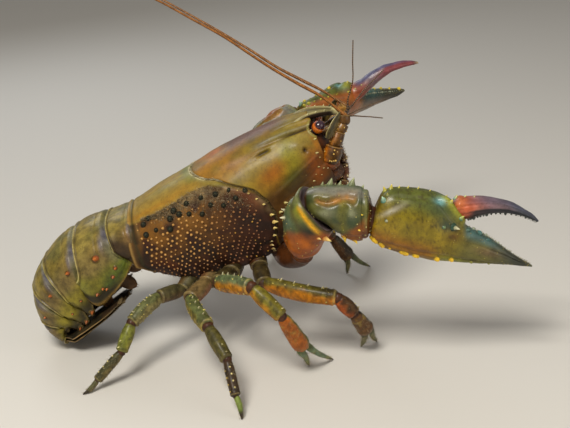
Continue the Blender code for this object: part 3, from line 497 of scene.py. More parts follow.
height += 0.85 * bell(S, GROOVE - 1.9, 1.2) * ebb(around, 116, 124) * fade(around, 34, 56)
height += 0.4 * hem - 1.3 * fade(around, 144.5, 149)
height += 0.95 * brow - 0.75 * brow_slit + 0.75 * rear_brow - 0.7 * rear_slit - 1.3 * pit
height += (0.7 * cheek_knob + 0.8 * cheek + 0.45 * cheek_fold
        - 0.5 * bell(around, 93.5, 2.0) * fade(X, 57, 63))
height += 0.55 * beak_edge - 0.16 * gill_line
height += 0.35 * ripple(P, 9.0) + 0.16 * ripple(P, 3.4, 1)
P = P + N * height[..., None]

# eye hollows: points within reach of the eye are moved back onto the inside of a small sphere
for side in (-1, 1):
    eye = body(EYE[0], side * EYE[1], EYE[2])
    look = unit(heading(0.50, side * 0.80, 0.20))
    d = P - eye
    depth = d @ look
    flat = d - depth[..., None] * look
    reach = np.linalg.norm(flat, axis=-1)
    near = (reach < 4.7) & (depth > -4.0)
    bowl = -np.sqrt(np.clip(3.9 ** 2 - reach ** 2, 0, None)) * 0.8
    bowl = np.where(reach < 3.9, bowl, (reach - 3.9) * 0.6)
    target = np.where(reach < 3.9, np.minimum(bowl, depth), depth + 0.35 * bell(reach, 4.2, 0.35))
    P = np.where(near[..., None], eye + flat + target[..., None] * look, P)

OLIVE, AMBER, BROWN = "84701f", "98651a", "341502"
field = cloud(P, 13.0, 3)
fine = cloud(P, 4.5, 4)
paint = coats(over(OLIVE, AMBER, fade(field + 0.35 * fine, 0.45, 0.95) * 0.75), [
    ("5e5c26", clouds(P, 7.0, 9, 0.45, 0.85) * 0.65),
    ("b0561c", 0.7 * bell(np.hypot(X - 41.5, across_y * 0.9), 0, 4.6) * (S > GROOVE) * (around < 60)),
    ("4e2206", 0.92 * bell(across_y, 0, 9.0) * (around < 60) * fade(X, 42, 50) * ebb(X, 68, 78)),
    # painted reflection: a pale grey-violet streak along the side of the head, where the wet shell mirrors
    # the sky
    ("98795f", 0.62 * bell(around, 38.0 + (X - 50) * 0.35, 4.2) * bell(X, 51, 7.5) * (S > GROOVE)),
    ("7c7660", 0.8 * bell(around, brow_line - 1.0, 4.2) * fade(X, 56, 62)),
    ("6b4620", 0.7 * bell(around, brow_line + 4.6, 3.0) * bell(X, 70, 8)),
    ("82801c", 0.9 * cheek * fade(X, 62, 70)),
    ("94560a", 0.9 * bell(around, 71.5, 9.0) * bell(X, 62.0, 7.0) * (S > GROOVE)),
    ("452808", 0.92 * fade(around, 78, 90) * (S > GROOVE)),
    ("4c4e16", 0.75 * bell(around, 86, 4.5) * bell(X, 68.5, 5.5)),
    # painted highlight: a pale spot on the cheek knob
    ("8a7a3c", 0.7 * bell(np.hypot(X - 77, (around - 62) * 0.27), 0, 3.2)),
    ("98600e", 0.85 * fade(S, 79.5, 82.5) * bell(around, 74, 15)),
    ("85450c", 0.85 * bell(np.hypot(X - 79.4, (around - 92) * 0.17), 0, 3.4)),
    ("3a2410", 0.85 * fade(around, 104, 120) * (S > GROOVE)),
])
edge_of_flank = table(X, FLANK_X, FLANK_EDGE) + 3.0 * ripple(P, 2.6, 16)
flank = fade(around, edge_of_flank - 2.0, edge_of_flank + 4.0) * behind_neck
areola = over("94782a", "6f7430", fade(field, 0.4, 0.8))
areola = coats(areola, [
    ("a2701a", bell(around, edge_of_flank - 7, 5) * (0.55 - 0.25 * fade(X, 12, 26))),
    ("7f7a34", bell(around, 14, 9) * bell(X, 18, 14) * 0.6),
])
golden = ebb(around, 66, 112) * ebb(X, 22, 46) * 0.85
flank_paint = over(BROWN, "7a500e", golden * clouds(P, 3.2, 5, 0.15, 0.6))
flank_paint = coats(flank_paint, [
    ("52260a", clouds(P, 5.0, 12, 0.4, 0.8) * fade(around, 88, 112) * 0.8),
    ("1e0f05", clouds(P, 4.0, 6, 0.5, 0.8) * 0.7),
    ("1c1008", bell(np.hypot(X - 22, (around - 93) * 0.3), 0, 5.0) * 0.6),
    ("20120a", fade(around, 130, 143)),
])
fuzz = bell(around, edge_of_flank + 5.5, 6.5 + 3.5 * bell(X, 36, 12)) * fade(X, 6, 18)
flank_paint = coats(flank_paint, [
    (over("8f7850", "5c4426", clouds(P, 1.6, 13, 0.4, 0.7)), 0.85 * fuzz * fade(fine, 0.15, 0.5)),
    ("6a3a1c", bell(S, GROOVE - 2.0, 1.4) * fade(around, 56, 66) * ebb(around, 84, 92) * 0.7),
])
paint = coats(paint, [
    (over(areola, flank_paint, flank), behind_neck),
    ("9c7c42", 0.9 * rear_rim + 0.55 * bell(S, REAR_EDGE + 3.1, 0.26) * ebb(around, 60, 90)),
    ("2c2a10", 0.85 * bell(S, REAR_EDGE + 1.8, 0.6)),
    ("3a2412", 0.9 * (around > 144)),
    ("5a3a1a", 0.8 * hem),
])
neck_shade = over("5c4a2a", "1e120a", fade(around, 40, 60))
paint = coats(paint, [
    ("8c8558", 0.5 * bell(S, GROOVE - 1.2, 1.1) * ebb(around, 34, 54) * fade(fine, 0.1, 0.6)),
    (neck_shade, neck * (0.3 + 0.5 * fade(around, 50, 66))),
    ("d8cea2", 0.8 * bell(S, GROOVE - 0.75, 0.26) * ebb(around, 30, 48) * clouds(P, 1.4, 15, 0.25, 0.5)),
    # painted shade: the sunk slits by the brow and the pit on the cheek are painted near black
    ("1e1209", 0.9 * brow_slit + 0.85 * rear_slit + pit),
])
cap = fade(S, 84.3, 84.9)
cap_paint = over("5a2e0c", "26140a", clouds(P, 1.8, 14, 0.35, 0.7))
paint = over(paint, cap_paint, cap)
# round each eye hollow: a pale rim, and the hollow inside painted near black as painted shade
for side in (-1, 1):
    reach = np.linalg.norm(P - body(EYE[0], side * EYE[1], EYE[2]), axis=-1)
    paint = coats(paint, [
        ("96964a", bell(reach, 4.7, 0.3) * (1 - cap) * 0.8),
        ("241410", 1 - fade(reach, 3.7, 4.4)),
    ])
wet = 0.85 - 0.45 * flank - 0.3 * fade(around, 140, 146) - 0.4 * cap
shield = form(P, paint, wet)
piece("carapace_shell", [shield], carapace_finish, ["carapace"])


def on_shell(x, angle):
    """Point and outward direction on the shell at body x and an angle down from the back."""
    x, angle = np.broadcast_arrays(np.asarray(x, float), np.asarray(angle, float))
    step = 0.4
    ahead_by = shell(x + step, angle) - shell(x - step, angle)
    round_by = shell(x, angle + 2 * step) - shell(x, angle - 2 * step)
    n = unit(np.cross(ahead_by, round_by))
    at = shell(x, angle)
    out = ((at - body(x, 0, table(x, STATION, WIDEST))) * n).sum(-1, keepdims=True)
    return at + sag(x, np.abs(angle)), np.where(out > 0, n, -n)


def flank_angle(x, down):
    """Angle of the skin so many mm down from the flank's top edge at body x, walked along the section."""
    first = 34
    fan = np.arange(first, 145.0)
    steps = np.linalg.norm(np.diff(shell(x[:, None], fan[None]), axis=1), axis=-1)
    walked = np.concatenate([np.zeros((len(x), 1)), np.cumsum(steps, axis=1)], 1)
    rows = np.arange(len(x))
    start = table(np.maximum(x, 0), FLANK_X, FLANK_EDGE) - first
    low = start.astype(int)
    goal = walked[rows, low] * (1 - start + low) + walked[rows, low + 1] * (start - low) + down
    k = np.clip((walked < goal[:, None]).sum(1), 1, len(fan) - 1)
    share = (goal - walked[rows, k - 1]) / (walked[rows, k] - walked[rows, k - 1])
    return fan[k - 1] + np.clip(share, 0, 1)


chance = np.random.default_rng(7)
headward = heading(1, 0, 0)
BIG_KNOBS = np.array([(6.4, 47.7), (15.4, 58.9), (19.7, 58.2), (23.7, 62.2), (28.8, 67.8), (13.7, 69.9),
        (7.8, 65.9), (2.9, 68.5), (3.4, 53.5), (24.2, 50.7), (30.9, 52.5), (33.6, 63.8), (38.5, 70.3),
        (44.4, 70.3), (43.1, 60.4), (49.0, 69.4), (18.0, 52.0), (37.2, 57.0)])
knobs = []
for side in (1, -1):
    # big blunt knobs along the flank's top, nearly black, in a coat of fuzz
    x, turn = BIG_KNOBS[:, 0], BIG_KNOBS[:, 1]
    at, out = on_shell(x, side * turn)
    big_at = at
    size = chance.uniform(0.85, 1.2, len(x))
    knobs.append(thorns(at, out + 0.25 * headward, 1.15 * size, 1.35 * size, "20180c", "171c0e",
            KNOB, 10, wet=0.35))
    knobs.append(thorns(at + out * 1.0, out + 0.3 * headward, 0.35 * size, 0.4 * size, "23240f", "4c4a24",
            KNOB, 7, wet=0.4))
    # small golden tubercles in rows that follow the skin down from the flank's top edge
    down = np.concatenate([[1.6, 3.8], 6.0 + np.cumsum(np.linspace(2.15, 1.7, 18))])
    for row, drop in enumerate(down):
        gap = 2.5 if row < 9 else 2.25
        x = np.arange(-1.6 + gap * 0.5 * (row % 2), 55.0, gap)
        x = x + chance.normal(0, 0.32, len(x))
        turn = flank_angle(x, drop + chance.normal(0, 0.22, len(x)) + 0.25 * np.sin(x * 0.4 + row))
        ahead = ring_line(np.full(len(x), 26.0), turn)
        behind = ring_line(np.full(len(x), 0.6), turn)
        keep = (x < ahead) & (x > behind) & (turn < 139) & (drop > 6.0 * bell(x, 36, 11))
        x, turn = x[keep], turn[keep]
        at, out = on_shell(x, side * turn)
        clear = np.linalg.norm(at[:, None] - big_at[None], axis=-1).min(1) > 1.9
        x, turn, at, out = x[clear], turn[clear], at[clear], out[clear]
        dull = np.clip(fade(x, 18, 44) * 0.75 + fade(turn, 84, 125) * 0.75, 0, 1)
        size = (chance.uniform(0.7, 1.15, len(x)) * (1 - 0.22 * dull)
                * (0.75 if row < 2 else 1.05 if row < 7 else 0.88))
        root = over("6c3e06", "431c06", dull)
        tip = over("cc9c58", "9a6844", dull)
        tip = over(tip, "d8a83c", fade(chance.random(len(x)), 0.80, 0.95) * fade(x, 25, 45))
        knobs.append(thorns(at, out + 0.3 * headward, 0.72 * size, 0.68 * size, root, tip,
                KNOB, 7, wet=0.95))
    # strong spines behind the neck groove, yellow with pale tips
    turn = np.array([57.0, 65.0, 73.0, 81.0, 88.0, 94.0, 100.5, 106.3, 114.7])
    x = ring_line(np.full(9, GROOVE), turn) - np.array([3.4, 3.0, 2.8, 2.6, 2.4, 2.3, 2.2, 2.2, 2.2])
    at, out = on_shell(x, side * turn)
    grow = np.array([0.8, 1.0, 1.1, 1.2, 1.3, 1.7, 2.1, 1.6, 1.5])
    knobs.append(thorns(at, out + 0.75 * headward, grow * 1.2, 0.55 + 0.4 * grow, "9a6a14", "f0dc8a",
            SPINE, 8, 0.25 * headward))
    turn = np.array([121.0, 128.0, 135.0, 141.0])
    x = ring_line(np.full(4, 27.0), turn)
    at, out = on_shell(x, side * turn)
    knobs.append(thorns(at, out + 0.8 * headward, 1.3, 0.9, "9a6a14", "f3e2a0", SPINE, 7))
    # a few small spines and pale dots on cheek and brow
    spots = np.array([(66.0, 33), (83.0, 39.5), (83.3, 50), (83.6, 66), (82.0, 84), (76.0, 99),
            (70.5, 78), (66.5, 88), (74.0, 91), (62, 95), (58.5, 98), (80.5, 93), (82.0, 97), (80.0, 101),
            (78.0, 96), (82.4, 90), (84, 101)])
    at, out = on_shell(spots[:, 0], side * spots[:, 1])
    grow = np.array([0.5, 1.1, 0.7, 0.8, 0.9, 0.8, 0.45, 0.5, 0.5, 0.9, 1.0, 0.5, 0.5,
            0.5, 0.4, 0.5, 0.5])
    knobs.append(thorns(at, out + 0.9 * headward, grow * 1.3, grow * 0.85, "8a7a2e", "e6d79a", SPINE, 7))
piece("carapace_tubercles", knobs, carapace_finish, ())

fringe = []
for side in (1, -1):
    # pale bristles lying back over the neck groove, and a coat of fuzz along the flank's top
    turn = chance.uniform(3, 112, 420)
    x = ring_line(np.full(420, GROOVE + 0.4), turn) + chance.normal(0, 0.22, 420)
    at, out = on_shell(x, side * turn)
    way = out * 0.7 - headward + chance.normal(0, 0.3, (420, 3))
    light = over("e8dfbc", "8a7448", fade(turn, 38, 60))
    fringe.append(thorns(at - out * 0.4, way, chance.uniform(0.9, 1.8, 420), 0.085, light * 0.4, light,
            HAIR, 3, -0.2 * out, 0.1, 0.3))
    x = chance.uniform(3, 50, 2400)
    band = fade(x, 0, 16) * (1 + bell(x, 36, 11))
    turn = flank_angle(x, np.abs(chance.normal(0, 2.9, 2400)) * band + 0.2)
    at, out = on_shell(x, side * turn)
    light = over("7a6440", "d0c2a0", chance.random(2400) ** 1.5)
    fringe.append(thorns(at, out + chance.normal(0, 0.6, (2400, 3)), chance.uniform(0.7, 1.8, 2400),
            0.075, light * 0.5, light, HAIR, 3, 0.0, 0.1, 0.2))
    x = chance.uniform(0, 46, 260)
    at, out = on_shell(x, side * (143.0 + chance.normal(0, 0.5, 260)))
    fringe.append(thorns(at, out - (0, 0, 0.8) + chance.normal(0, 0.2, (260, 3)),
            chance.uniform(0.8, 1.6, 260), 0.07, "4a3420", "a58a5c", HAIR, 3, 0.0, 0.1, 0.3))
piece("carapace_bristles", fringe, bristle_finish, ())


# Beak: the short spear of shell over the eyes, part of the shield. Its edges are raised, with a
# hollow between them, three small teeth a side and a pale point. Modelled as a flat hollow blade.
BEAK_X = [70, 76, 80, 84, 88, 92, 95, 96.6]
BEAK_HALF = [9.4, 8.6, 7.4, 6.0, 5.0, 3.8, 2.2, 0.5]
BEAK_TOP = [6.2, 6.0, 5.9, 5.4, 4.4, 3.0, 1.5, 0.5]
BEAK_EDGE = [3.9, 4.7, 5.6, 6.0, 5.3, 3.9, 2.2, 0.8]
BEAK_DEEP = [5.0, 5.0, 4.2, 3.2, 2.7, 2.4, 2.0, 1.0]
x = np.linspace(70, 96.6, 90)[:, None]
q = np.concatenate([np.linspace(-1, 1, 61), np.linspace(0.94, -0.94, 24)])[None]
upper = np.arange(85)[None] < 61
half, top, edge, deep = (table(x, BEAK_X, rows) for rows in (BEAK_HALF, BEAK_TOP, BEAK_EDGE, BEAK_DEEP))
rim = bell(np.abs(q), 0.86, 0.13)
z = np.where(upper, top + (edge - top) * np.abs(q) ** 2.6 + 0.45 * rim * fade(x, 74, 82)
        - 0.9 * fade(np.abs(q), 0.93, 1.0), top - deep * (1 - 0.55 * q ** 2))
P = body(x + 0 * q, q * half, z)
paint = coats(over("8c8250", "a39a6c", rim * upper), [
    ("5c5130", bell(np.abs(q), 0.5, 0.25) * upper * fade(x, 78, 86)),
    ("2a1c10", (~upper) * 1.0 + fade(np.abs(q), 0.95, 1.0) * upper),
    ("c9c08c", fade(x, 93.5, 96) * np.ones_like(q)),
])
beak = [form(P, paint, 0.7)]
for side in (1, -1):
    x = np.array([84.5, 88.0, 91.5, 94.3])
    at = body(x, side * table(x, BEAK_X, BEAK_HALF) * 0.93, table(x, BEAK_X, BEAK_EDGE) - 0.1)
    way = heading(0.9, side * 0.55, 0.7)
    beak.append(thorns(at, np.repeat(way[None], 4, 0), [0.9, 1.0, 1.1, 1.0], 0.6, "8c8250", "e2dcae",
            SPINE, 8, wet=0.8))
beak.append(thorns(body(96.0, 0, 0.6)[None], heading(1, 0, 0.25)[None], 1.3, 0.7, "b0a870", "f0e8c0",
        SPINE, 8, wet=0.8))
piece("beak", beak, carapace_finish, ())


# Eyes: each is a dark kidney-shaped cornea on a short orange-red stalk that turns in its hollow.
# The cornea is glass-smooth over fine facets; the stalk is thin shell with a pale collar.
SIDES = ((-1, "right"), (1, "left"))
eye_finish = shell_finish("eye_finish", rough=0.07, coat=1.0, grain=900.0, dark=0.8, light=1.1, bump=0.15,
        pits=0.0, relief=0.00004)


def revolve(centre, axis, profile_along, profile_radius, rows=26, cols=40, squeeze=1.0, up=(0, 0, 1)):
    """A profile turned about an axis; squeeze flattens it across."""
    axis = unit(np.asarray(axis, float))
    side = unit(np.cross(axis, up))
    lift = np.cross(side, axis)
    t = np.linspace(0, 1, rows)
    knots = np.linspace(0, 1, len(profile_along))
    far, wide = table(t, knots, profile_along), np.maximum(table(t, knots, profile_radius), 0.01)
    turn = circle(cols)
    ring = np.cos(turn)[:, None] * lift + np.sin(turn)[:, None] * side * squeeze
    return centre + far[:, None, None] * axis + wide[:, None, None] * ring[None], t, turn


for side, word in SIDES:
    eye = body(EYE[0], side * EYE[1], EYE[2])
    look = unit(heading(0.60, side * 0.66, 0.44))
    P, t, turn = revolve(eye, look, [-3.2, -2.2, -0.8, 0.5, 1.3, 1.75], [1.3, 2.2, 2.7, 2.65, 2.35, 1.8])
    t, low = t[:, None], -np.cos(turn)[None]
    paint = coats(over("b04c12", "d8781e", fade(t + 0.15 * low, 0.35, 0.7)), [
        ("8a2a14", fade(t - 0.1 * low, 0.66, 0.86) * 0.8),
        ("6d6a66", fade(np.sin(turn) * -side, 0.5, 0.95)[None] * ebb(t, 0.2, 0.5)),
    ])
    stalk = form(P, paint, 0.9)
    P, t, turn = revolve(eye, look, [1.3, 1.5, 2.1, 2.75, 3.1, 3.22],
            [1.85, 2.0, 1.95, 1.42, 0.72, 0.02], 30, 44, 1.1)
    sheen = fade(t[:, None] - 0.25 * np.cos(turn)[None], 0.1, 0.6)
    cornea = form(P, over("1c0f16", "3a2333", sheen), 1.0)
    piece(f"eye_{word}_globe", [stalk, cornea], eye_finish, [f"eye_{word}"])


# Feelers: each long antenna grows from a stack of orange articles set with yellow dots, beside a
# pale leaf-shaped scale. The whip is a tapering chain of hundreds of short rings, orange-brown.
RIGHT_ANTENNA = [(28.2, -8.0, 97.2), (18.2, -9.3, 106.9), (9.0, -10.4, 113.2), (-0.5, -11.5, 120.0),
        (-9.6, -13.0, 127.3), (-18.7, -14.2, 134.7), (-32.1, -16.2, 144.0), (-44.2, -18.5, 152.3),
        (-56.0, -21.0, 158.6), (-68.0, -24.0, 162.6), (-80.0, -27.5, 163.6), (-91.0, -31.0, 161.4)]
LEFT_ANTENNA = [(30.2, 8.0, 97.2), (19.8, 9.2, 104.6), (11.0, 10.2, 109.8), (1.6, 11.2, 115.4),
        (-10.0, 13.0, 123.7), (-19.8, 14.6, 130.4), (-34.4, 17.2, 139.7), (-46.6, 20.0, 147.0),
        (-58.0, 24.0, 152.6), (-70.0, 29.0, 156.2), (-82.0, 35.0, 157.0), (-93.0, 41.0, 154.8)]


def tube(points, shares, wide, high, up, rows, sides, power):
    """A rounded section carried along a smooth path: the path is a curve through its points by
    distance walked, the half sizes come from tables over the share of the way; turn 0 is the top."""
    points = np.asarray(points, float)
    run = np.concatenate([[0], np.cumsum(np.linalg.norm(np.diff(points, axis=0), axis=1))])
    share = np.linspace(0, 1, rows)
    line = np.stack([table(share * run[-1], run, points[:, k]) for k in range(3)], -1)
    way = unit(np.gradient(line, axis=0))
    across = unit(np.cross(way, np.asarray(up, float)))
    lift = np.cross(across, way)
    turn = circle(sides)
    c = blunt(np.cos(turn), 2 / power)
    d = blunt(np.sin(turn), 2 / power)
    w = table(share, shares, wide)[:, None, None]
    h = w if high is None else table(share, shares, high)[:, None, None]
    P = line[:, None] + across[:, None] * w * d[None, :, None] + lift[:, None] * h * c[None, :, None]
    return P, share[:, None], turn[None]


def article(a, b, girth, up, colour, under, flat=1.0, rows=26, sides=26, swell=1.05):
    """One limb joint from a to b: narrow foot, swollen middle, a collar round its far end."""
    a, b = np.asarray(a, float), np.asarray(b, float)
    shares = [0, 0.05, 0.18, 0.55, 0.86, 0.93, 0.975, 1.0]
    wide = np.array([0.518, 0.74, 0.93, swell, 1.0, 1.0, 0.9, 0.63]) * girth
    points = np.stack([a, a + (b - a) * 0.35, a + (b - a) * 0.7, b])
    P, t, turn = tube(points, shares, wide, wide * flat, up, rows, sides, 2.2)
    N = grid_normals(P)
    height = 0.05 * girth * ripple(P, girth * 0.9, 2) - 0.045 * girth * bell(t, 0.885, 0.012)
    P = P + N * height[..., None]
    paint = over(under, colour, fade(np.cos(turn) + 0.9 * ripple(P, girth, 5), -0.35, 0.5))
    paint = paint * (1 - 0.45 * clouds(P, girth * 0.45, 8, 0.5, 0.8))[..., None]
    paint = coats(paint, [
        ("1e140c", ebb(t, 0.02, 0.12) * 0.75
                + fade(t, 0.76, 0.92) * 0.45 * clouds(P, girth, 6, 0.2, 0.7)),
        (over(colour, "b8a468", 0.45), bell(t, 0.957, 0.013) * 0.7),
    ])
    return form(P, paint, 0.8), P, N


def grains(P, N, rows, cols, count, size, root, tip, high=1.0, wide=1.1, lean=0.0):
    """Small knobs strewn at random over part of a grid, of sizes between two, leaning a little."""
    row, col = chance.integers(*rows, count), chance.integers(*cols, count)
    grow = chance.uniform(*size, count)
    return thorns(P[row, col], N[row, col] + lean, grow * high, grow * wide, root, tip, KNOB, 6)


def hairs(P, N, rows, cols, count, length, root, tip, radius=0.06, stray=0.3, lean=0.0, wet=0.2):
    """Fine hairs strewn at random over part of a grid, each straying from the way it would stand."""
    row, col = chance.integers(*rows, count), chance.integers(*cols, count) % P.shape[1]
    way = N[row, col] + lean + chance.normal(0, stray, (count, 3))
    long = length if np.isscalar(length) else chance.uniform(*length, count)
    return thorns(P[row, col], way, long, radius, root, tip, HAIR, 3, wet=wet)


antenna_finish = shell_finish("antenna_finish", rough=0.32, coat=0.35, grain=520.0, pits=0.15)
for side, word, whip in ((-1, "right", RIGHT_ANTENNA), (1, "left", LEFT_ANTENNA)):
    # the stem's articles are orange above and painted dark brown underneath: the dark underside is painted
    # shade
    orange, underside_shade = "a8600e", "5c3c10"
    joints = [body(85.5, side * 12.2, -15.0), body(89.9, side * 11.2, -9.6), body(93.9, side * 9.7, -5.4),
            body(97.0, side * 8.5, -3.4), np.array(whip[0]) + (-0.8, 0, 0.8)]
    stack = []
    for k, girth in enumerate((3.6, 2.7, 2.35, 2.55)):
        link, P, N = article(joints[k] - (joints[k + 1] - joints[k]) * 0.12, joints[k + 1], girth,
                (0, -side * 0.3, 1), over(orange, "a08a4a", (0.0, 0.2, 0.5, 0.45)[k]), underside_shade, 1.0, 26, 28)
        stack.append(link)
        if k < 3:
            count, size = (9, 1.0) if k else (16, 1.2)
            stack.append(grains(P, N, (5, 22), (0, 28), count, (0.28, 0.5), orange, "ecc86c", size, size))
    at = body(np.array([88.6, 92.6, 90.5]), side * np.array([14.2, 11.9, 8.2]),
            np.array([-11.5, -7.2, -10.6]))
    stack.append(thorns(at, np.repeat(heading(1, side * 0.5, 0)[None], 3, 0), [2.0, 1.6, 1.4],
            [0.8, 0.6, 0.6], orange, "f0dc9c", SPINE, 8, wet=0.8))
    piece(f"antenna_{word}_stem", stack, antenna_finish, [f"antenna_base_{word}"])

    points = np.array(whip)
    count = 1500
    P, t, turn = tube(points, [0, 0.02, 0.15, 0.5, 1.0], [1.2, 0.86, 0.70, 0.50, 0.22], None,
            (0, 0, 1), count, 9, 2.0)
    length = np.linalg.norm(np.diff(points, axis=0), axis=1).sum()
    ring_length = 0.62
    ring = (t * length / ring_length) % 1.0
    middle = P.mean(1, keepdims=True)
    P = middle + (P - middle) * (1.0 + 0.16 * (ring - 0.5) * (1 - 0.4 * t))[..., None]
    # the whip's rings are banded pale and dark; its underside is painted darker as painted shade, and it
    # turns greyer towards its tip
    paint = coats(over("8a5010" if side < 0 else "6e4216", "b8803c", fade(ring, 0.55, 0.95)), [
        ("4a2410", ebb(np.cos(turn), -0.6, 0.3) * 0.6),
        ("6a4a28", fade(t, 0.3, 1.0) * 0.6),
    ])
    rooted = chance.integers(0, count - 2, 260)
    at = P[rooted, chance.integers(0, 9, 260)]
    out = unit(at - middle[rooted, 0])
    fluff = thorns(at, out + unit(P[rooted + 1, 0] - P[rooted, 0]) * 0.8, 0.55, 0.05, "7a4a20", "c09a60",
            HAIR, 3, wet=0.3)
    piece(f"antenna_{word}_whip", [form(P, paint, 0.6), fluff], antenna_finish,
            [f"antenna_inner_{word}", f"antenna_outer_{word}"])

    # leaf-shaped scale beside the stem: thick outer edge that ends in a point, thin fringed inner edge
    mid = np.stack([body(88.6, side * 13.8, -4.9), body(90.4, side * 13.6, -3.2),
            body(93.0, side * 12.6, -1.0), body(95.6, side * 11.5, 1.0), body(97.8, side * 10.4, 2.6)])
    P, t, turn = tube(mid, [0, 0.15, 0.45, 0.75, 0.93, 1.0], [0.4, 0.55, 0.5, 0.42, 0.35, 0.15],
            [1.0, 1.6, 1.75, 1.3, 0.7, 0.1], (0, 0, 1), 40, 32, 2.0)
    P = P + np.array([0, side * 0.35, 0]) * bell(np.cos(turn), -0.1, 0.3)[..., None] * (1 - t)[..., None]
    paint = over("5c4e26", "35301a", bell(np.cos(turn), 0.3, 0.35))
    pale_edges = 0.85 * fade(np.cos(turn), 0.82, 0.99) + 0.6 * fade(-np.cos(turn), 0.93, 1.0)
    paint = over(paint, "aaa26c", pale_edges + 0 * t)
    blade = [form(P, paint, 0.7)]
    k = chance.integers(6, 38, 110)
    at = P[k, 16]
    blade.append(thorns(at, at - P[k, 0] + chance.normal(0, 0.15, (110, 3)), 1.1, 0.06, "7a6a40",
            "d8c890", HAIR, 3, wet=0.3))
    piece(f"antenna_{word}_scale", blade, antenna_finish, [f"antenna_scale_{word}"])


# Small feelers: between the eyes each antennule has three short articles and two thin whips, dark
# brown with pale rings. They are fine tubes drawn along a curve and rooted under the beak.
for side, word in SIDES:
    stem = [body(86.5, side * 3.4, -5.0), body(91.0, side * 3.4, -3.8), body(94.9, side * 3.2, -2.9),
            body(98.6, side * 3.0, -2.4)]
    stack = [article(stem[k] - (stem[k + 1] - stem[k]) * 0.1, stem[k + 1], girth, (0, 0, 1), "7a5c30",
            "5a3618", 0.9, 18, 18)[0] for k, girth in enumerate((1.6, 1.45, 1.3))]
    lash = [[(43.8, -6.0, 94.9)], [(40.6, -2.4, 100.1)]] if side < 0 else [[(46.2, 7.0, 112.6)],
            [(32.4, 4.6, 108.2), (33.6, 6.0, 126.3)]]
    for k, line in enumerate(lash):
        start = stem[3] + np.array([0.0, (-0.7 if k else 0.7) * side, 0.0])
        points = [start - 2.0 * unit(stem[3] - stem[2]), start]
        for p in line:
            points += [(points[-1] + np.array(p)) / 2 + (0, 0, 0.5), np.array(p, float)]
        P, t, turn = tube(points, [0, 0.1, 1.0], [0.62, 0.5, 0.22], None, (0.2, 1, 0.1), 260, 7, 2.0)
        ring = (t * 34) % 1.0
        middle = P.mean(1, keepdims=True)
        P = middle + (P - middle) * (1 + 0.2 * (ring - 0.5))[..., None]
        stack.append(form(P, over("3a2414", "94703c", fade(ring, 0.6, 0.95) * 0.8), 0.5))
    piece(f"antennule_{word}_small", stack, antenna_finish, [f"antennule_{word}"])


# Face and mouth: the plate under the beak, the jaw lumps, and the outermost pair of jointed mouth
# limbs folded up in front. Thin dark brown shell with orange and white dots and stiff bristles.
mouth_finish = shell_finish("mouth_finish", rough=0.34, coat=0.4, grain=380.0, pits=0.45)


def lump(centre, radii, colour, spots, seed=0.0, rows=30, cols=44):
    """An egg with soft dents, radii along the body's axes, painted in two clouded tones."""
    v = np.linspace(0.02, 0.98, rows)[:, None] * math.pi
    u = circle(cols)[None]
    way = np.stack([np.sin(v) * np.cos(u), np.sin(v) * np.sin(u), np.cos(v) + 0 * u], -1)
    c = body(*centre)
    swell = 1 + 0.16 * ripple(way * 3 + seed, 1.0, seed)
    d = way * np.asarray(radii, float) * swell[..., None]
    P = c + heading(d[..., 0], d[..., 1], d[..., 2])
    return form(P, over(colour, spots, clouds(P, 2.2, seed, 0.5, 0.8)), 0.7), P


# jaw lumps: middle in the body frame, radii, colour, colour of the clouds on it
JAWS = [((85.6, 10.4, -15.0), (3.9, 4.0, 4.3), "7a3c08", "3c1e0a"),
        ((87.0, 5.2, -12.6), (3.2, 4.2, 3.4), "5a300e", "2c180a"),
        ((84.9, 8.0, -20.6), (4.4, 4.2, 4.2), "48260c", "5e3410"),
        ((84.2, 4.2, -22.0), (5.2, 3.6, 5.4), "341a08", "4a2810"),
        ((79.0, 9.4, -25.6), (5.2, 4.4, 4.2), "2c1608", "44260e")]
face = []
for side in (-1, 1):
    for seed, ((x, y, z), radii, colour, spots) in enumerate(JAWS, start=1):
        egg, P = lump((x, side * y, z), radii, colour, spots, float(seed + side))
        face.append(egg)
        N = grid_normals(P)
        face.append(grains(P, N, (4, 26), (0, 44), 16, (0.22, 0.5), colour, "eadcae"))
        face.append(hairs(P, N, (4, 26), (0, 44), 40, 1.2, "4a3018", "b09058", wet=0.3))
piece("face_plate", face, mouth_finish, ())
for side, word in SIDES:
    joints = [body(57, side * 8, -42.0), body(73.5, side * 7.6, -36.4), body(82.5, side * 7.2, -31.6),
            body(87.4, side * 6.6, -26.0), body(89.8, side * 6.0, -19.6), body(90.2, side * 5.4, -14.6)]
    limb = []
    for k, (girth, flat) in enumerate(((3.0, 0.8), (3.0, 0.85), (2.7, 0.9), (2.4, 0.9), (1.7, 0.85))):
        link, P, N = article(joints[k] - (joints[k + 1] - joints[k]) * 0.06, joints[k + 1], girth,
                heading(0, 0, 1), "43240e", "5e3012", flat, 24, 26, 1.05)
        limb.append(link)
        limb.append(grains(P, N, (3, 21), (0, 26), 14, (0.25, 0.55), "8a4a1a", "f0e0b0", 1.3, 1.0,
                0.3 * headward))
        inward = np.array([0.2, -side * 0.6, 0.2])
        limb.append(hairs(P, N, (2, 22), (0, 26), 120, (0.8, 2.0), "5a3a1c", "c8a468", 0.07,
                0.25, inward, 0.3))
    piece(f"maxilliped_{word}_limb", limb, mouth_finish, [f"maxilliped_{word}"])


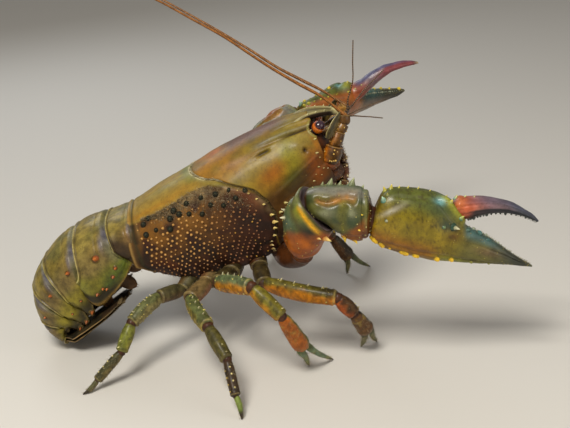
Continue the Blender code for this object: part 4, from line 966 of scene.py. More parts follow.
# Tail: six overlapping plates arched over the back, each with a hanging side flap, curled under.
# Hard shell, olive with pale rear rims and orange side spines; bluish skin shows where they slide.
ABDOMEN = [
    [((-66.0, 62.0), (-62.3, 43.6), 18.6), ((-71.8, 60.7), (-66.6, 41.0), 19.0),
            ((-77.4, 58.7), (-70.9, 41.8), 18.8)],
    [((-78.1, 58.9), (-70.0, 38.0), 20.0), ((-85.5, 57.4), (-80.0, 24.8), 20.8),
            ((-92.0, 53.8), (-86.4, 25.6), 20.2)],
    [((-92.5, 53.4), (-87.0, 25.2), 19.8), ((-100.8, 48.5), (-87.7, 19.6), 20.1),
            ((-107.0, 41.3), (-88.9, 19.6), 19.2)],
    [((-107.4, 40.8), (-89.3, 19.2), 18.8), ((-111.4, 35.3), (-90.3, 15.6), 18.9),
            ((-113.1, 30.2), (-91.6, 15.0), 18.0)],
    [((-113.2, 29.6), (-91.9, 14.8), 17.6), ((-113.5, 22.2), (-93.6, 12.9), 17.5),
            ((-111.6, 15.2), (-96.2, 13.2), 16.4)],
    [((-111.4, 14.6), (-96.3, 12.7), 16.0), ((-107.6, 7.2), (-98.4, 11.6), 15.0),
            ((-100.9, 1.7), (-100.4, 9.6), 13.4)],
]
ARCH_DOWN = [0.025, 0.0, 0.025, 0.11, 0.27, 0.5, 0.76, 1.0]
ARCH_OUT = [-0.36, 0.0, 0.36, 0.68, 0.89, 1.0, 0.99, 0.88]
UNDER_TURN = [0, 0.12, 0.24, 0.36, 0.5, 0.64, 0.76, 0.88, 1]
# for each plate: place along it, place round it, length and radius of its spines
TAIL_SPINES = {
    2: [(0.36, 3.56, 2.0, 1.75), (0.13, 4.62, 1.2, 1.1), (0.21, 4.95, 1.2, 1.1),
            (0.36, 5.35, 1.1, 1.0), (0.42, 5.08, 1.1, 0.95), (0.56, 5.16, 1.4, 1.05)],
    3: [(0.28, 3.43, 1.6, 1.3), (0.4, 5.0, 0.9, 0.8), (0.45, 5.75, 1.8, 1.1)],
    4: [(0.3, 3.43, 1.5, 1.2), (0.4, 5.0, 0.8, 0.7), (0.5, 5.75, 1.7, 1.0)],
    5: [(0.45, 3.4, 1.1, 1.0), (0.5, 5.75, 1.5, 0.9)],
}
# share of a plate's length at its first and last row, turn at its lower edge, rows and columns
PLATE_START, PLATE_END, HEM_TURN, PLATE_ROWS, PLATE_COLUMNS = -0.14, 1.03, 6, 60, 161
tail_finish = shell_finish("tail_finish", rough=0.42, coat=0.14, grain=300.0)


def three(u, values):
    """The parabola through three values at u = 0, a half and 1."""
    a, b, c = (np.asarray(v, float) for v in values)
    u = np.asarray(u)[..., None] if a.ndim else np.asarray(u)
    return a * 2 * (u - 0.5) * (u - 1) - b * 4 * u * (u - 1) + c * 2 * u * (u - 0.5)


for number, rings in enumerate(ABDOMEN, start=1):
    u = np.linspace(PLATE_START, PLATE_END, PLATE_ROWS)[:, None]
    outer = np.linspace(-HEM_TURN, HEM_TURN, PLATE_COLUMNS)
    inner_turn = np.linspace(0, 1, 42)[1:-1]
    back = three(u[:, 0], [r[0] for r in rings])
    hem_line = three(u[:, 0], [r[1] for r in rings])
    wide = three(u[:, 0], [r[2] for r in rings])
    drop = np.linalg.norm(hem_line - back, axis=1)[:, None]
    turn = np.abs(outer)[None]
    corner = fade(turn, 3.9, 5.6)
    trim = 0.20 * np.abs(2 * np.clip(u, 0, 1) - 1) ** 2.6 * corner * (1 if number > 1 else 0.5)
    f = table(turn, np.arange(-1, 7), ARCH_DOWN) * (1 - trim)
    out = table(turn, np.arange(-1, 7), ARCH_OUT) * np.sign(outer)[None] * wide[:, None]
    place = np.where(u < 0, u * (1 - fade(turn, 3.2, 3.9) * (number == 2)), u)
    spread = {2: 0.5, 3: 0.14, 4: 0.12}.get(number, 0.05) * fade(turn, 3.0, 4.4)
    spread = spread * bell(f, 0.8 if number == 2 else 0.74, 0.19)
    spread = spread * (np.maximum(place - 0.5, 0) if number == 2 else place - 0.5)
    shifted = three((place + spread).ravel(), [r[0] for r in rings]).reshape(*f.shape, 2)
    hems = three((place + spread).ravel(), [r[1] for r in rings]).reshape(*f.shape, 2)
    flat = shifted + (hems - shifted) * f[..., None]
    if number == 2:
        push = table(f, [0.3, 0.42, 0.5, 0.58, 0.66, 0.76, 0.88, 1.0],
                [0, 0.4, 1.4, 2.9, 4.2, 5.0, 5.0, 4.6])
        push = push * fade(turn, 3.0, 4.2) * (1 - np.clip(place / 0.38, 0, 1)) ** 1.2
        flat = flat + push[..., None] * np.array([1.0, -0.15])
    elif 2 < number < 6:
        push = 2.3 * fade(f, 0.68, 1.0) * fade(turn, 4.0, 5.0)
        flat = flat + push[..., None] * np.array([1.0, -0.2])
    outside = np.stack([flat[..., 0], -out, flat[..., 1]], -1)
    # inner wall: up behind the flap, across the soft underside and back
    under_out = table(inner_turn, UNDER_TURN, [0.80, 0.74, 0.68, 0.42, 0.0, -0.42, -0.68, -0.74, -0.80])
    under_f = table(inner_turn, UNDER_TURN, [0.97, 0.88, 0.78, 0.735, 0.72, 0.735, 0.78, 0.88, 0.97])
    ridge = 0.03 * bell(u, 0.55, 0.2)
    down_share = under_f[None] * (1 - 0.10 * np.abs(2 * np.clip(u, 0, 1) - 1) ** 2.6) + ridge
    under = back[:, None] + (hem_line - back)[:, None] * down_share[..., None]
    inside = np.stack([under[..., 0], -under_out[None] * wide[:, None] * np.ones_like(u),
            under[..., 1]], -1)
    P = np.concatenate([outside, inside], 1)
    N = grid_normals(P)
    shell_side = np.concatenate([np.ones_like(f), np.zeros(inside.shape[:2])], 1)
    turn2 = np.concatenate([turn * np.ones_like(u), np.full(inside.shape[:2], 6.0)], 1)
    f2 = np.concatenate([f, np.ones(inside.shape[:2])], 1)
    lift = 0.45 * bell(u, 0.985, 0.028) - 0.35 * bell(u, 0.915, 0.022) - 1.25 * ebb(u, 0.0, 0.13)
    lift = (lift - 0.22 * bell(u, 0.30, 0.03) * (turn2 < 3.6) + 0.5 * bell(turn2, 5.85, 0.2)
            - 0.3 * bell(turn2, 5.35, 0.16))
    lift = lift + 1.1 * bell(np.hypot((u - 0.26) * 9, (turn2 - 3.2) * 3.4), 0, 2.6) * (number < 6)
    lift = lift + {2: 1.2, 3: 0.35}.get(number, 0.2) * bell(f2, 0.74, 0.17) * fade(turn2, 3.6, 4.6)
    lift = lift + 0.3 * ripple(P, 6.0, number) + 0.14 * ripple(P, 2.4, number)
    P = P + N * (lift * shell_side)[..., None]
    paint = over("7c6c2c", "90803c", clouds(P, 8.0, number, 0.35, 0.75))
    paint = over(paint, "5c5a2a", clouds(P, 4.5, 10 + number, 0.5, 0.85) * 0.7)
    side_shade = fade(turn2, 2.4, 3.4) * ebb(turn2, 4.2, 5.0)
    paint = over(paint, over("6a5a38", "4a3c26", clouds(P, 1.4, 20 + number, 0.45, 0.8)),
            side_shade * 0.6)
    # the lower part of each side flap is painted near black: painted shadow under the arch of the tail
    flap = fade(turn2, 3.9, 4.7)
    if number == 2:
        paint = coats(paint, [
            ("716c1a", flap * 0.95),
            ("4a5c1c", bell(turn2, 5.0, 0.7) * fade(0.5 - u, 0, 0.3) * 0.8),
            ("3e6030", bell(turn2, 5.2, 0.25) * bell(u, 0.32, 0.1) * 0.5),
            ("6a6a2c", flap * fade(u, 0.55, 0.8) * 0.6),
            ("1e160c", fade(f2 + 0.10 * ripple(P, 3.0, 27), 0.74, 0.86) * flap
                    * fade(u, 0.05, 0.3) * 0.92),
        ])
    elif number == 1:
        paint = coats(paint, [
            # painted shade: the side of the first plate, tucked under the carapace's rear edge, is painted
            # dark brown
            ("32200f", fade(turn2, 2.9, 3.8) * 0.95),
            ("a07844", bell(np.hypot((u - 0.18) * 6, (turn2 - 3.4) * 1.6), 0, 1.0) * 0.9),
        ])
    else:
        paint = coats(paint, [
            ("80761c", flap * 0.85),
            ("1a120a", flap * fade(f2 + 0.08 * ripple(P, 3.0, 27), 0.72, 0.9) * 0.92),
        ])
    paint = over(paint, "6f5a2c", 0.6 * bell(np.hypot((u - 0.26) * 9, (turn2 - 3.2) * 3.4), 0, 3.0))
    skin_patch = ebb(u, 0.06, 0.17) * (1 - flap)
    paint = coats(paint, [
        ("6c6a44", skin_patch * 0.8),
        ("5c5a70", skin_patch * bell(turn2, 2.3, 0.9) * 0.8),
        ("5e5a68", bell(u, 0.16, 0.05) * bell(turn2, 2.9, 0.6) * 0.7),
        ("b9ad72", 0.9 * bell(u, 0.99, 0.016)),
        ("a88438" if number == 2 else "8a7a44",
                0.85 * bell(turn2, 5.88, 0.11) * (0.5 if number > 2 else 1)),
        ("3f3418", 0.7 * bell(u, 0.93, 0.02)),
        (over("2c1e12", "46321c", 0.5 * bell(u, 0.55, 0.2)), 1 - shell_side),
    ])
    tail = [form(P, paint, 0.8 * shell_side + 0.4 * (1 - shell_side))]
    for side in (1, -1):
        for su, st, length, radius in TAIL_SPINES.get(number, []):
            i = round((su - PLATE_START) / (PLATE_END - PLATE_START) * (PLATE_ROWS - 1))
            j = round((side * st / HEM_TURN + 1) / 2 * (PLATE_COLUMNS - 1))
            at, way = P[i, j], N[i, j]
            tail.append(thorns(at[None], way[None] + np.array([[-0.25, 0, -0.15]]), length, radius,
                    "6a2e08", "cc742e", SPINE, 11, sink=0.6))
            tail.append(thorns(at[None], way[None], 0.3, radius * 1.45, "6f6a20", "54300e", KNOB, 12,
                    wet=0.9, sink=0.8))
        if number > 1:
            edge = chance.integers(0, 60, 90)
            at = P[edge, 2 if side < 0 else 158]
            tail.append(thorns(at, (0, 0, -1) + chance.normal(0, 0.35, (90, 3)),
                    chance.uniform(0.7, 1.6, 90), 0.06, "4a3820", "a89468", HAIR, 3, wet=0.2))
    # swimmerets under plates 2 to 5: real parts, made large, swept forward and painted dark brown to fill
    # the shade under the tail, so partly painted shade
    if 2 <= number <= 5:
        for side in (-1, 1):
            root = back[33] + (hem_line[33] - back[33]) * 0.66
            end = (back[33] + (hem_line[33] - back[33]) * 0.96
                    + {2: np.array([10.5, 2.0]), 3: np.array([7.0, -0.5])}.get(number, 0.0))
            half = (root + end) / 2
            for fork in (-1, 1):
                path = [(root[0], side * 7.0, root[1]),
                        (half[0] + fork * 1.6, side * (7.6 + fork), half[1]),
                        (end[0] + fork * 3.2, side * (7.4 + 2 * fork), end[1])]
                Q, t, _ = tube(path, [0, 0.3, 0.7, 0.9, 1], [1.0, 1.3, 1.0, 0.7, 0.3],
                        [1.2, 2.8, 3.2, 2.5, 0.8], (1, 0, 0.3), 30, 16, 2.0)
                tail.append(form(Q, over("34200e", "5c3e20", t * np.ones(Q.shape[:2])), 0.5))
                onward = unit(Q[-1].mean(0) - Q[0].mean(0))
                tail.append(hairs(Q, 0 * Q, (10, 30), (0, 16), 90, (0.6, 1.6), "4a3018", "9a7a4c",
                        0.05, 0.35, onward))
    piece(f"tail_plate_{number}", tail, tail_finish, [f"abdomen_{number}"])


# Tail fan: the middle blade and two pairs of side blades, folded forward under the last plates.
# Each is a thin ribbed plate, dark olive, with a soft paler rear part and a fringe of hairs.
FAN_X = [-100.1, -95.0, -89.5, -80.0, -71.0]
FAN_Z = [1.5, 2.4, 6.0, 12.9, 19.4]


def fan_blade(layer, stations):
    """A flat section carried along the folded fan's curve; ribs and a cross seam raised on it."""
    run = np.concatenate([[0], np.cumsum(np.hypot(np.diff(FAN_X), np.diff(FAN_Z)))])
    t = np.linspace(0, 1, 70)
    x, z = table(t * run[-1], run, FAN_X), table(t * run[-1], run, FAN_Z)
    way = unit(np.stack([np.gradient(x), np.gradient(z)], -1))
    st = np.array(stations, float)
    y, w, h = (table(t, st[:, 0], st[:, k])[:, None] for k in (1, 2, 3))
    turn = circle(56)[None]
    c = blunt(np.cos(turn), 0.9)
    d = blunt(np.sin(turn), 0.9)
    rib = (0.28 * bell(d, 0.0, 0.09) + 0.16 * bell(np.abs(d), 0.45, 0.07)
            - 0.2 * bell(t[:, None], 0.70, 0.012))
    high = layer + c * (h + rib * (1 - t[:, None] * 0.6))
    P = np.stack([x[:, None] - way[:, 1:] * high, y + d * w, z[:, None] + way[:, :1] * high], -1)
    paint = coats(over("211c10", "3a3018", clouds(P, 3.0, layer, 0.3, 0.8)), [
        ("4c4024", 0.7 * bell(d, 0, 0.1)),
        ("9a7c4c", 0.9 * fade(np.abs(d), 0.95, 1.0)),
        ("3c2818", fade(t[:, None], 0.71, 0.76) * 0.5),
    ])
    made = [form(P, paint, 0.6)]
    k = chance.integers(0, 56, 240)
    row = np.where(chance.random(240) < 0.6, 69, chance.integers(52, 70, 240))
    k = np.where(row < 69, np.where(chance.random(240) < 0.5, 14, 42), k)
    at = P[row, k]
    out = unit(np.stack([way[row, 0], np.sign(at[:, 1] - y[row, 0]) * (0.3 + 0.7 * (row < 69)),
            way[row, 1]], -1))
    made.append(thorns(at, out + chance.normal(0, 0.12, (240, 3)), chance.uniform(1.2, 2.4, 240), 0.07,
            "4a3a20", "9a8660", HAIR, 3, wet=0.2))
    return made


piece("fan_middle", fan_blade(1.7, [(0, 0, 7.6, 1.5), (0.18, 0, 9.4, 1.6), (0.5, 0, 9.2, 1.4),
        (0.8, 0, 8.2, 1.1), (0.94, 0, 6.2, 0.8), (1.0, 0, 3.2, 0.5)]), tail_finish,
        ["telson"])
for side, word in SIDES:
    piece(f"fan_inner_{word}", fan_blade(3.8, [(0, side * 10.0, 2.4, 0.7), (0.15, side * 11.4, 4.4, 0.75),
            (0.5, side * 12.8, 5.8, 0.7), (0.85, side * 13.2, 5.2, 0.5), (1.0, side * 13.0, 2.4, 0.3)]),
            tail_finish, [f"uropod_inner_{word}"])
    piece(f"fan_outer_{word}", fan_blade(5.6, [(0, side * 10.6, 2.2, 0.6), (0.15, side * 12.6, 3.8, 0.75),
            (0.5, side * 15.2, 5.2, 0.7), (0.85, side * 16.6, 5.0, 0.5), (1.0, side * 16.8, 2.4, 0.3)]),
            tail_finish, [f"uropod_outer_{word}"])


# Great claws: arm, wrist joint, hand with its fixed finger, and movable finger. Thick hard shell,
# olive and orange with blue-green fingers; yellow spines along the edges, blunt teeth in the grip.
ARM_ROWS, ARM_SIDES = 200, 96
RIGHT_ARM = dict(path=[(-1.6, -21.5, 41.2), (2.4, -29.5, 47.2), (5.6, -36.5, 54.8), (8.0, -42.6, 61.2),
        (9.8, -48.4, 66.6)], wrist=(33.0, -52.0, 66.2), along=(0.9398, -0.061, -0.336),
        mesial=(0.336, 0.0, 0.942))
LEFT_ARM = dict(path=[(-4.6, 21.5, 40.0), (-6.5, 29.5, 44.0), (-9.5, 37.5, 50.5), (-13.0, 45.0, 58.0),
        (-14.0, 51.5, 64.8)], wrist=(7.2, 67.9, 77.6), along=(0.895, 0.43, 0.045),
        mesial=(0.34, -0.72, 0.61))
# each station: inner edge, outer edge, both as distance along the hand and across it, then thickness
PALM = [((0.0, 3.4), (0.0, -2.0), 5.0), ((0.3, 7.6), (0.9, -4.2), 9.6), ((0.9, 12.6), (3.2, -6.7), 12.6),
        ((3.4, 15.2), (8.0, -8.1), 14.4), ((9.0, 17.0), (14.6, -8.4), 15.6),
        ((16.0, 18.5), (21.0, -8.2), 15.8), ((22.6, 18.5), (27.0, -7.7), 15.0),
        ((28.0, 17.0), (31.6, -6.9), 13.8), ((32.4, 13.0), (35.4, -6.2), 12.0),
        ((36.0, 9.5), (39.4, -5.3), 10.4), ((42.4, 8.2), (45.0, -4.0), 9.0),
        ((49.6, 6.0), (51.8, -2.5), 7.2), ((56.8, 3.6), (58.5, -1.0), 5.3),
        ((62.6, 1.8), (63.4, -0.1), 3.2), ((66.0, 0.9), (66.1, 0.3), 1.2)]
DACTYL = [((26.6, 16.2), (31.0, 12.0), 7.0), ((28.6, 18.6), (34.6, 12.0), 8.8),
        ((33.0, 20.6), (38.4, 14.2), 9.2), ((39.4, 22.4), (43.6, 17.0), 8.2),
        ((47.4, 23.3), (49.0, 18.7), 6.6), ((54.2, 22.3), (54.4, 19.2), 4.8),
        ((59.0, 20.9), (58.8, 18.9), 3.2), ((62.0, 19.2), (61.9, 18.5), 1.2)]
# wrist joint: distance along, inner edge, outer edge, thickness, for a forearm of the length named
FOREARM = 24.6
CARPUS = [(-2.0, 11.0, 7.6, 4.0), (-1.2, 12.8, 5.8, 8.6), (1.4, 13.9, 3.6, 12.6), (6.2, 14.5, 0.4, 15.4),
        (11.4, 14.6, -3.9, 16.8), (17.2, 14.3, -7.2, 16.6), (21.6, 13.4, -7.0, 15.6),
        (23.8, 11.0, -4.8, 13.2), (25.2, 7.4, -3.2, 9.8), (26.0, 4.8, -2.2, 7.0)]
# right arm's outer end: share of the way, then middle, half height and half width, each given along
# the forearm, up and out
LOBE = [(0.70, (-4.0, -9.4, -9.0), (-2.2, 7.4, -5.8), (-6.4, -0.4, 2.4)),
        (0.805, (-3.8, -5.2, -4.2), (-2.8, 9.4, -5.0), (-6.6, -1.0, 4.8)),
        (0.895, (-2.2, -1.2, -1.0), (-4.4, 9.8, -2.0), (-5.4, -2.6, 7.4)),
        (0.955, (-0.2, 2.0, 0.0), (-5.8, 8.8, -0.6), (-3.0, -2.4, 8.6)),
        (1.0, (2.7, 5.3, 0.0), (-6.2, 7.4, 0.0), (-0.6, -1.7, 8.4))]
claw_finish = shell_finish("claw_finish", rough=0.36, coat=0.22, grain=280.0, dark=0.74, light=1.18)
arm_finish = shell_finish("arm_finish", rough=0.36, coat=0.2, grain=300.0, dark=0.76, light=1.16)


def plate(origin, axes, stations, scale, rows, sides, power=2.5):
    """Closed section between an inner and an outer edge with a thickness, stations joined smoothly."""
    a, b, c = axes
    k = np.arange(len(stations))
    step = np.linspace(0, k[-1], rows)
    inner = [table(step, k, [s[0][i] for s in stations])[:, None] for i in (0, 1)]
    outer = [table(step, k, [s[1][i] for s in stations])[:, None] for i in (0, 1)]
    thick = table(step, k, [s[2] for s in stations])[:, None]
    turn = circle(sides)[None]
    rise = blunt(np.cos(turn), 2 / power)
    face_out = blunt(np.sin(turn), 2 / power)
    lengthwise = (inner[0] + outer[0]) / 2 + (inner[0] - outer[0]) / 2 * rise
    crosswise = (inner[1] + outer[1]) / 2 + (inner[1] - outer[1]) / 2 * rise
    depth = face_out * thick / 2
    P = origin + scale * (lengthwise[..., None] * a + crosswise[..., None] * b + depth[..., None] * c)
    return P, lengthwise, crosswise, rise + 0 * lengthwise, face_out + 0 * lengthwise


def nearest(first, second, places, usable):
    """For each wanted pair of surface coordinates, the index of the grid point that comes closest."""
    found = []
    for one, two in places:
        gap = np.where(usable, np.hypot(first - one, second - two), 1e9)
        found.append(np.unravel_index(np.argmin(gap), gap.shape))
    found = np.array(found)
    return found[:, 0], found[:, 1]


def planted(P, N, at, places, usable, upright, lean, length, radius, root, tip, profile=SPINE, sides=10,
        sway=0.0, wet=1.0):
    """Spines or knobs at the grid points nearest to wanted places, part along the normal, part leaning."""
    i, j = nearest(*at, places, usable)
    return thorns(P[i, j], upright * N[i, j] + lean, length, radius, root, tip, profile,
            sides, sway, wet=wet)


def bead(centre, radius, colour):
    """A small round of joint skin."""
    P, t, turn = revolve(np.asarray(centre, float), (0.2, 0.3, 1.0),
            np.array([-1, -0.75, 0, 0.75, 1]) * radius, np.array([0.02, 0.7, 1, 0.7, 0.02]) * radius, 18,
            24, up=(1, 0, 0))
    P = P + (P - centre) * (0.12 * ripple(P, radius * 0.6, 3))[..., None]
    return form(P, over(colour, tint(colour) * 0.5, clouds(P, radius * 0.5, 6, 0.4, 0.8)), 0.5)


# the left claw is a little smaller, with its finger swung open by the angle given last
CLAWS = ((-1, "right", RIGHT_ARM, 1.0, 0.0), (1, "left", LEFT_ARM, 0.97, math.radians(24.6)))
for side, word, arm, scale, gape in CLAWS:
    origin, elbow = np.array(arm["wrist"], float), np.array(arm["path"][-1], float)
    a = unit(np.array(arm["along"]))
    b = np.array(arm["mesial"], float)
    b = unit(b - a * (b @ a))
    c = np.cross(a, b) * -side
    forearm = unit(origin - elbow)
    run = float(np.linalg.norm(origin - elbow))
    wrist_b = unit(b - forearm * (b @ forearm))
    wrist_c = np.cross(forearm, wrist_b) * -side

    # arm: narrow at the body, swelling to a deep lobe whose slanting mouth holds the wrist joint
    root = body(50.0, side * 13.0, table(50.0, STATION, BOTTOM) + 1.5)
    points = [root, root + heading(0, 0, -1) * 4.6] + [np.array(p, float) for p in arm["path"]]
    run_to = np.concatenate([[0], np.cumsum(np.linalg.norm(np.diff(points, axis=0), axis=1))])
    shares = run_to / run_to[-1]
    P, t, turn = tube(points, list(shares[:-1]) + [0.97, 1.0], [4.0, 4.0, 4.2, 5.0, 7.0, 9.0, 9.4, 9.0],
            [4.2, 4.2, 4.4, 5.6, 8.8, 12.4, 12.6, 12.0], b, ARM_ROWS, ARM_SIDES, 2.3)
    low = (1 - np.cos(turn)) / 2
    axes = np.array([forearm, wrist_b, wrist_c])
    if side < 0:
        lobe_t = [row[0] for row in LOBE]
        lobe = [[table(t, lobe_t, [row[n][k] for row in LOBE]) for k in range(3)] for n in (1, 2, 3)]
        middle, tall, wide = (np.stack(three_ways, -1) for three_ways in lobe)
        bow = blunt(np.cos(turn), 0.74)
        bend = blunt(np.sin(turn), 0.74)
        P = (P + wrist_b * (4.5 * low * bell(t, 0.60, 0.14))[..., None]
                + forearm * (4.8 * bell(t, 0.38, 0.17) + 0 * low)[..., None])
        P = over(P, elbow + (middle + bow[..., None] * tall + bend[..., None] * wide) @ axes,
                fade(t, 0.70, 0.84) + 0 * turn)
    else:
        P = (P + forearm * (9.0 * fade(t, 0.70, 1.0) * low)[..., None]
                - wrist_b * (1.5 * fade(t, 0.8, 1.0) * (1 - low))[..., None])
    mouth, middle = P[-1], P[-1].mean(0)
    back_in = unit(P[-1].mean(0) - P[-8].mean(0))
    closing = ((0.975, -0.1), (0.94, 0.1), (0.90, 0.8), (0.80, 1.3), (0.62, 1.6), (0.4, 1.8), (0.15, 1.9))
    P = np.concatenate([P, [middle + (mouth - middle) * k - back_in * d for k, d in closing]])
    t = np.concatenate([t, np.linspace(1.01, 1.1, 7)[:, None]])
    N = grid_normals(P)
    top, out = np.cos(turn) + 0 * t, np.sin(turn) * side + 0 * t
    h = (0.55 * bell(t, 0.985, 0.012) - 0.6 * bell(t, 0.955, 0.014)
            - 0.45 * bell(t, shares[3] * 0.98, 0.012) + 0.3 * bell(t, shares[3] * 0.98 - 0.025, 0.012))
    h = h + (0.5 * ripple(P, 5.0, 21) + 0.15 * ripple(P, 2.0, 22)) * (t < 1.0)
    P = P + N * h[..., None]
    paint = over("a25204", "864004", clouds(P, 6.0, 23, 0.4, 0.8))
    local = (P - elbow) @ axes.T
    reach_f = local[..., 0]
    level = local[..., 1] - 0.36 * (local[..., 2] - 6.0) + 2.0 * ripple(P, 4.0, 24)
    paint = coats(paint, [
        ("a85a08", bell(level, -7.5, 3.0) * 0.7),
        ("4e5a2c", fade(level, -4.0, -1.6)),
        ("4c5e50", spot(reach_f, level, -8.5, 2.0, 4, 4) * 0.8),
        ("10190a", spot(reach_f, level, 0.6, -2.2, 4.4, 2.4) * 0.95),
        ("86861c", spot(reach_f, level, -3.6, 5.6, 2.6, 3.6) * 0.85),
        ("5c6c3c", fade(level, 8.0, 11.0) * 0.7),
        ("d29a14", bell(t, 0.986, 0.0055) * fade(top, -0.7, -0.3) * ebb(top, 0.45, 0.75)),
        ("6c7040", bell(t, 0.985, 0.014) * fade(top, 0.6, 0.85)),
        ("2c1c14", bell(t, 1.0, 0.006) * 0.8),
        ("3a1e0c", bell(t, 0.955, 0.012) * 0.5),
        # painted shade: the arm is painted dark brown near its root, where it runs under the body
        ("3c2210", ebb(t, 0.36, 0.6) * 0.88),
        (over("7c6a6e", "54464a", clouds(P, 2.0, 26, 0.3, 0.8)), fade(t, 1.0, 1.012)),
    ])
    forms = [form(P, paint, 0.85)]
    spots = [(0.70, 0.35), (0.76, -0.25), (0.80, 0.5), (0.84, 0.1), (0.88, 0.62), (0.86, -0.35),
            (0.64, 0.1), (0.82, -0.9), (0.90, 1.0), (0.78, 1.0)]
    for share, angle in spots:
        i, j = int(share * (ARM_ROWS - 1)), int((angle / (2 * math.pi) * ARM_SIDES) % ARM_SIDES)
        grow = (1.0 if share > 0.7 else 0.7) * chance.uniform(0.75, 1.15)
        forms.append(thorns(P[i, j][None], N[i, j][None] - 0.1 * forearm, 1.9 * grow, 0.95 * grow,
                "5f6030", "f4f0cc", SPINE, 9))
    for share, angle, length, radius in ((0.982, 2.62, 3.0, 1.5), (0.975, 2.85, 2.2, 1.2),
            (0.95, -2.1, 2.2, 1.1), (0.975, 2.3, 1.3, 0.8)):
        i, j = int(share * (ARM_ROWS - 1)), int((angle / (2 * math.pi) * ARM_SIDES) % ARM_SIDES)
        forms.append(thorns(P[i, j][None], N[i, j][None] + 0.8 * forearm, length, radius, "b05a08",
                "f6e08c", SPINE, 10))
    forms.append(grains(P, N, (90, 190), (0, 96), 90, (0.14, 0.34), "7a5a1c", "cdbb62"))
    forms.append(hairs(P, N, (95, 190), (-18, 19), 130, (0.5, 1.1), "5a5434", "c0b890", 0.05))
    piece(f"arm_{word}_shell", forms, arm_finish, [f"arm_{word}"])

    # wrist joint: a boxy knuckle, two swellings on its outer face under a furrow, broad spines inside
    st = np.array(CARPUS)
    step = np.linspace(0, len(st) - 1, 110)
    along_s, hi, lo, thick = (table(step, np.arange(len(st)), st[:, k])[:, None] for k in range(4))
    turn = circle(110)[None]
    rise = blunt(np.cos(turn), 0.82)
    out = blunt(np.sin(turn), 0.82)
    tall = (hi + lo) / 2 + (hi - lo) / 2 * rise
    P = (elbow + (along_s * run / FOREARM)[..., None] * forearm + (tall * scale)[..., None] * wrist_b
            + (out * thick / 2 * scale)[..., None] * wrist_c)
    N = grid_normals(P)
    s_at, m_at = along_s + 0 * turn, tall + 0 * along_s
    rise, out = rise + 0 * s_at, out + 0 * s_at
    outer_face = fade(out, 0.0, 0.5)
    furrow_line = 9.6 + 0.12 * s_at + 0.5 * np.sin(s_at * 0.55) + 1.2 * ripple(P, 3.0, 36)
    furrow = (bell(m_at, furrow_line, 0.9 + 0.05 * s_at) * outer_face * fade(s_at, 2.0, 4.5)
            * ebb(s_at, 18.5, 20.5))
    cross_furrow = (bell(s_at - 0.25 * (m_at - 4), 14.4, 0.8) * outer_face * fade(m_at, -4, 0)
            * ebb(m_at, 8, 9.6))
    first_swelling = spot(s_at, m_at, 8.6, 5.0, 6.0, 3.6) * outer_face
    second_swelling = spot(s_at, m_at, 18.0, 3.6, 3.0, 5.0) * outer_face
    h = -1.5 * furrow - 0.8 * cross_furrow + 1.3 * first_swelling + 1.2 * second_swelling
    h = (h + 0.5 * bell(s_at, 23.2, 0.6) - 0.5 * bell(s_at, 22.0, 0.6)
            - 0.5 * bell(m_at, -4.2, 0.7) * outer_face * fade(s_at, 8, 12))
    h = h + 0.5 * ripple(P, 4.5, 31) + 0.18 * ripple(P, 1.8, 32)
    P = P + N * h[..., None]
    orange_line = -m_at + 0.75 * np.maximum(s_at - 14, 0) + 1.6 * ripple(P, 2.4, 37)
    paint = coats(over("5a5a26", "38421e", clouds(P, 3.4, 33, 0.35, 0.75)), [
        ("6e6a24", clouds(P, 5.0, 34, 0.5, 0.8) * 0.8),
        ("34462c", (first_swelling * 0.4 + second_swelling) * 0.85),
        # painted highlights: pale grey spots on the tops of the two swellings
        ("8b8d70", (spot(s_at, m_at, 8.0, 6.4, 3.4, 1.5) + spot(s_at, m_at, 18.0, 6.0, 1.8, 1.6))
                * outer_face * 0.75),
        ("7c7a72", fade(rise, 0.62, 0.9) * fade(out, -0.6, 0.1) * 0.8),
        ("4a6038", fade(-out, -0.5, 0.3) * fade(rise, 0.4, 0.8) * 0.7),
        ("b07c3c", furrow * (0.55 + 0.4 * clouds(P, 1.6, 35, 0.35, 0.7))),
        ("84480a", fade(orange_line, 1.8, 5.0) * 0.92),
        ("7a3e0a", fade(-out, 0.2, 0.8) * 0.8),
        ("787a44", 0.7 * bell(s_at, 23.2, 0.6)),
        ("5e2c08", fade(s_at - 0.35 * m_at, 21.5, 24.0) * fade(5.0 - m_at, 0, 3) * 0.9),
        ("46220e", fade(s_at, 23.9, 24.6) * 0.95 + ebb(s_at, -1.1, -0.4) * 0.8),
    ])
    if side > 0:
        paint = over(paint, "9a5216", fade(s_at, 9, 15) * ebb(rise, 0.3, 0.8) * 0.9)
    knuckle = [form(P, paint, 0.85)]
    grow = np.array([0.7, 1.25, 0.8, 1.45, 0.7, 0.5, 0.5])
    knuckle.append(planted(P, N, (s_at, m_at), [(4.6, 13.6), (8.0, 14.0), (12.2, 14.2), (16.8, 14.0),
            (21.2, 12.2), (10.0, 13.0), (18.6, 12.0)], out < 0.15, 0.55, 0.7 * wrist_b + 0.35 * forearm,
            2.3 * grow, 1.4 * grow, "44542e", "a9b083", SPINE, 11))
    grow = np.array([1.25, 0.9, 0.7, 0.6, 0.5, 0.5])
    knuckle.append(planted(P, N, (s_at, m_at), [(14.0, -5.0), (18.6, -6.2), (9.4, -3.6), (20.4, -1.0),
            (12.0, -5.8), (21.6, 5.0)], out > 0.1, 0.8, 0.5 * forearm, 1.8 * grow, 1.15 * grow,
            "b8780c", "f6dc4c"))
    knuckle.append(grains(P, N, (14, 96), (0, 110), 110, (0.14, 0.36), "5c5a28", "b8b06c"))
    knuckle.append(bead(origin - forearm * 0.6 + wrist_b * 1.4, 5.3, "4a220c"))
    piece(f"wrist_{word}_shell", knuckle, claw_finish, [f"carpus_{word}"])

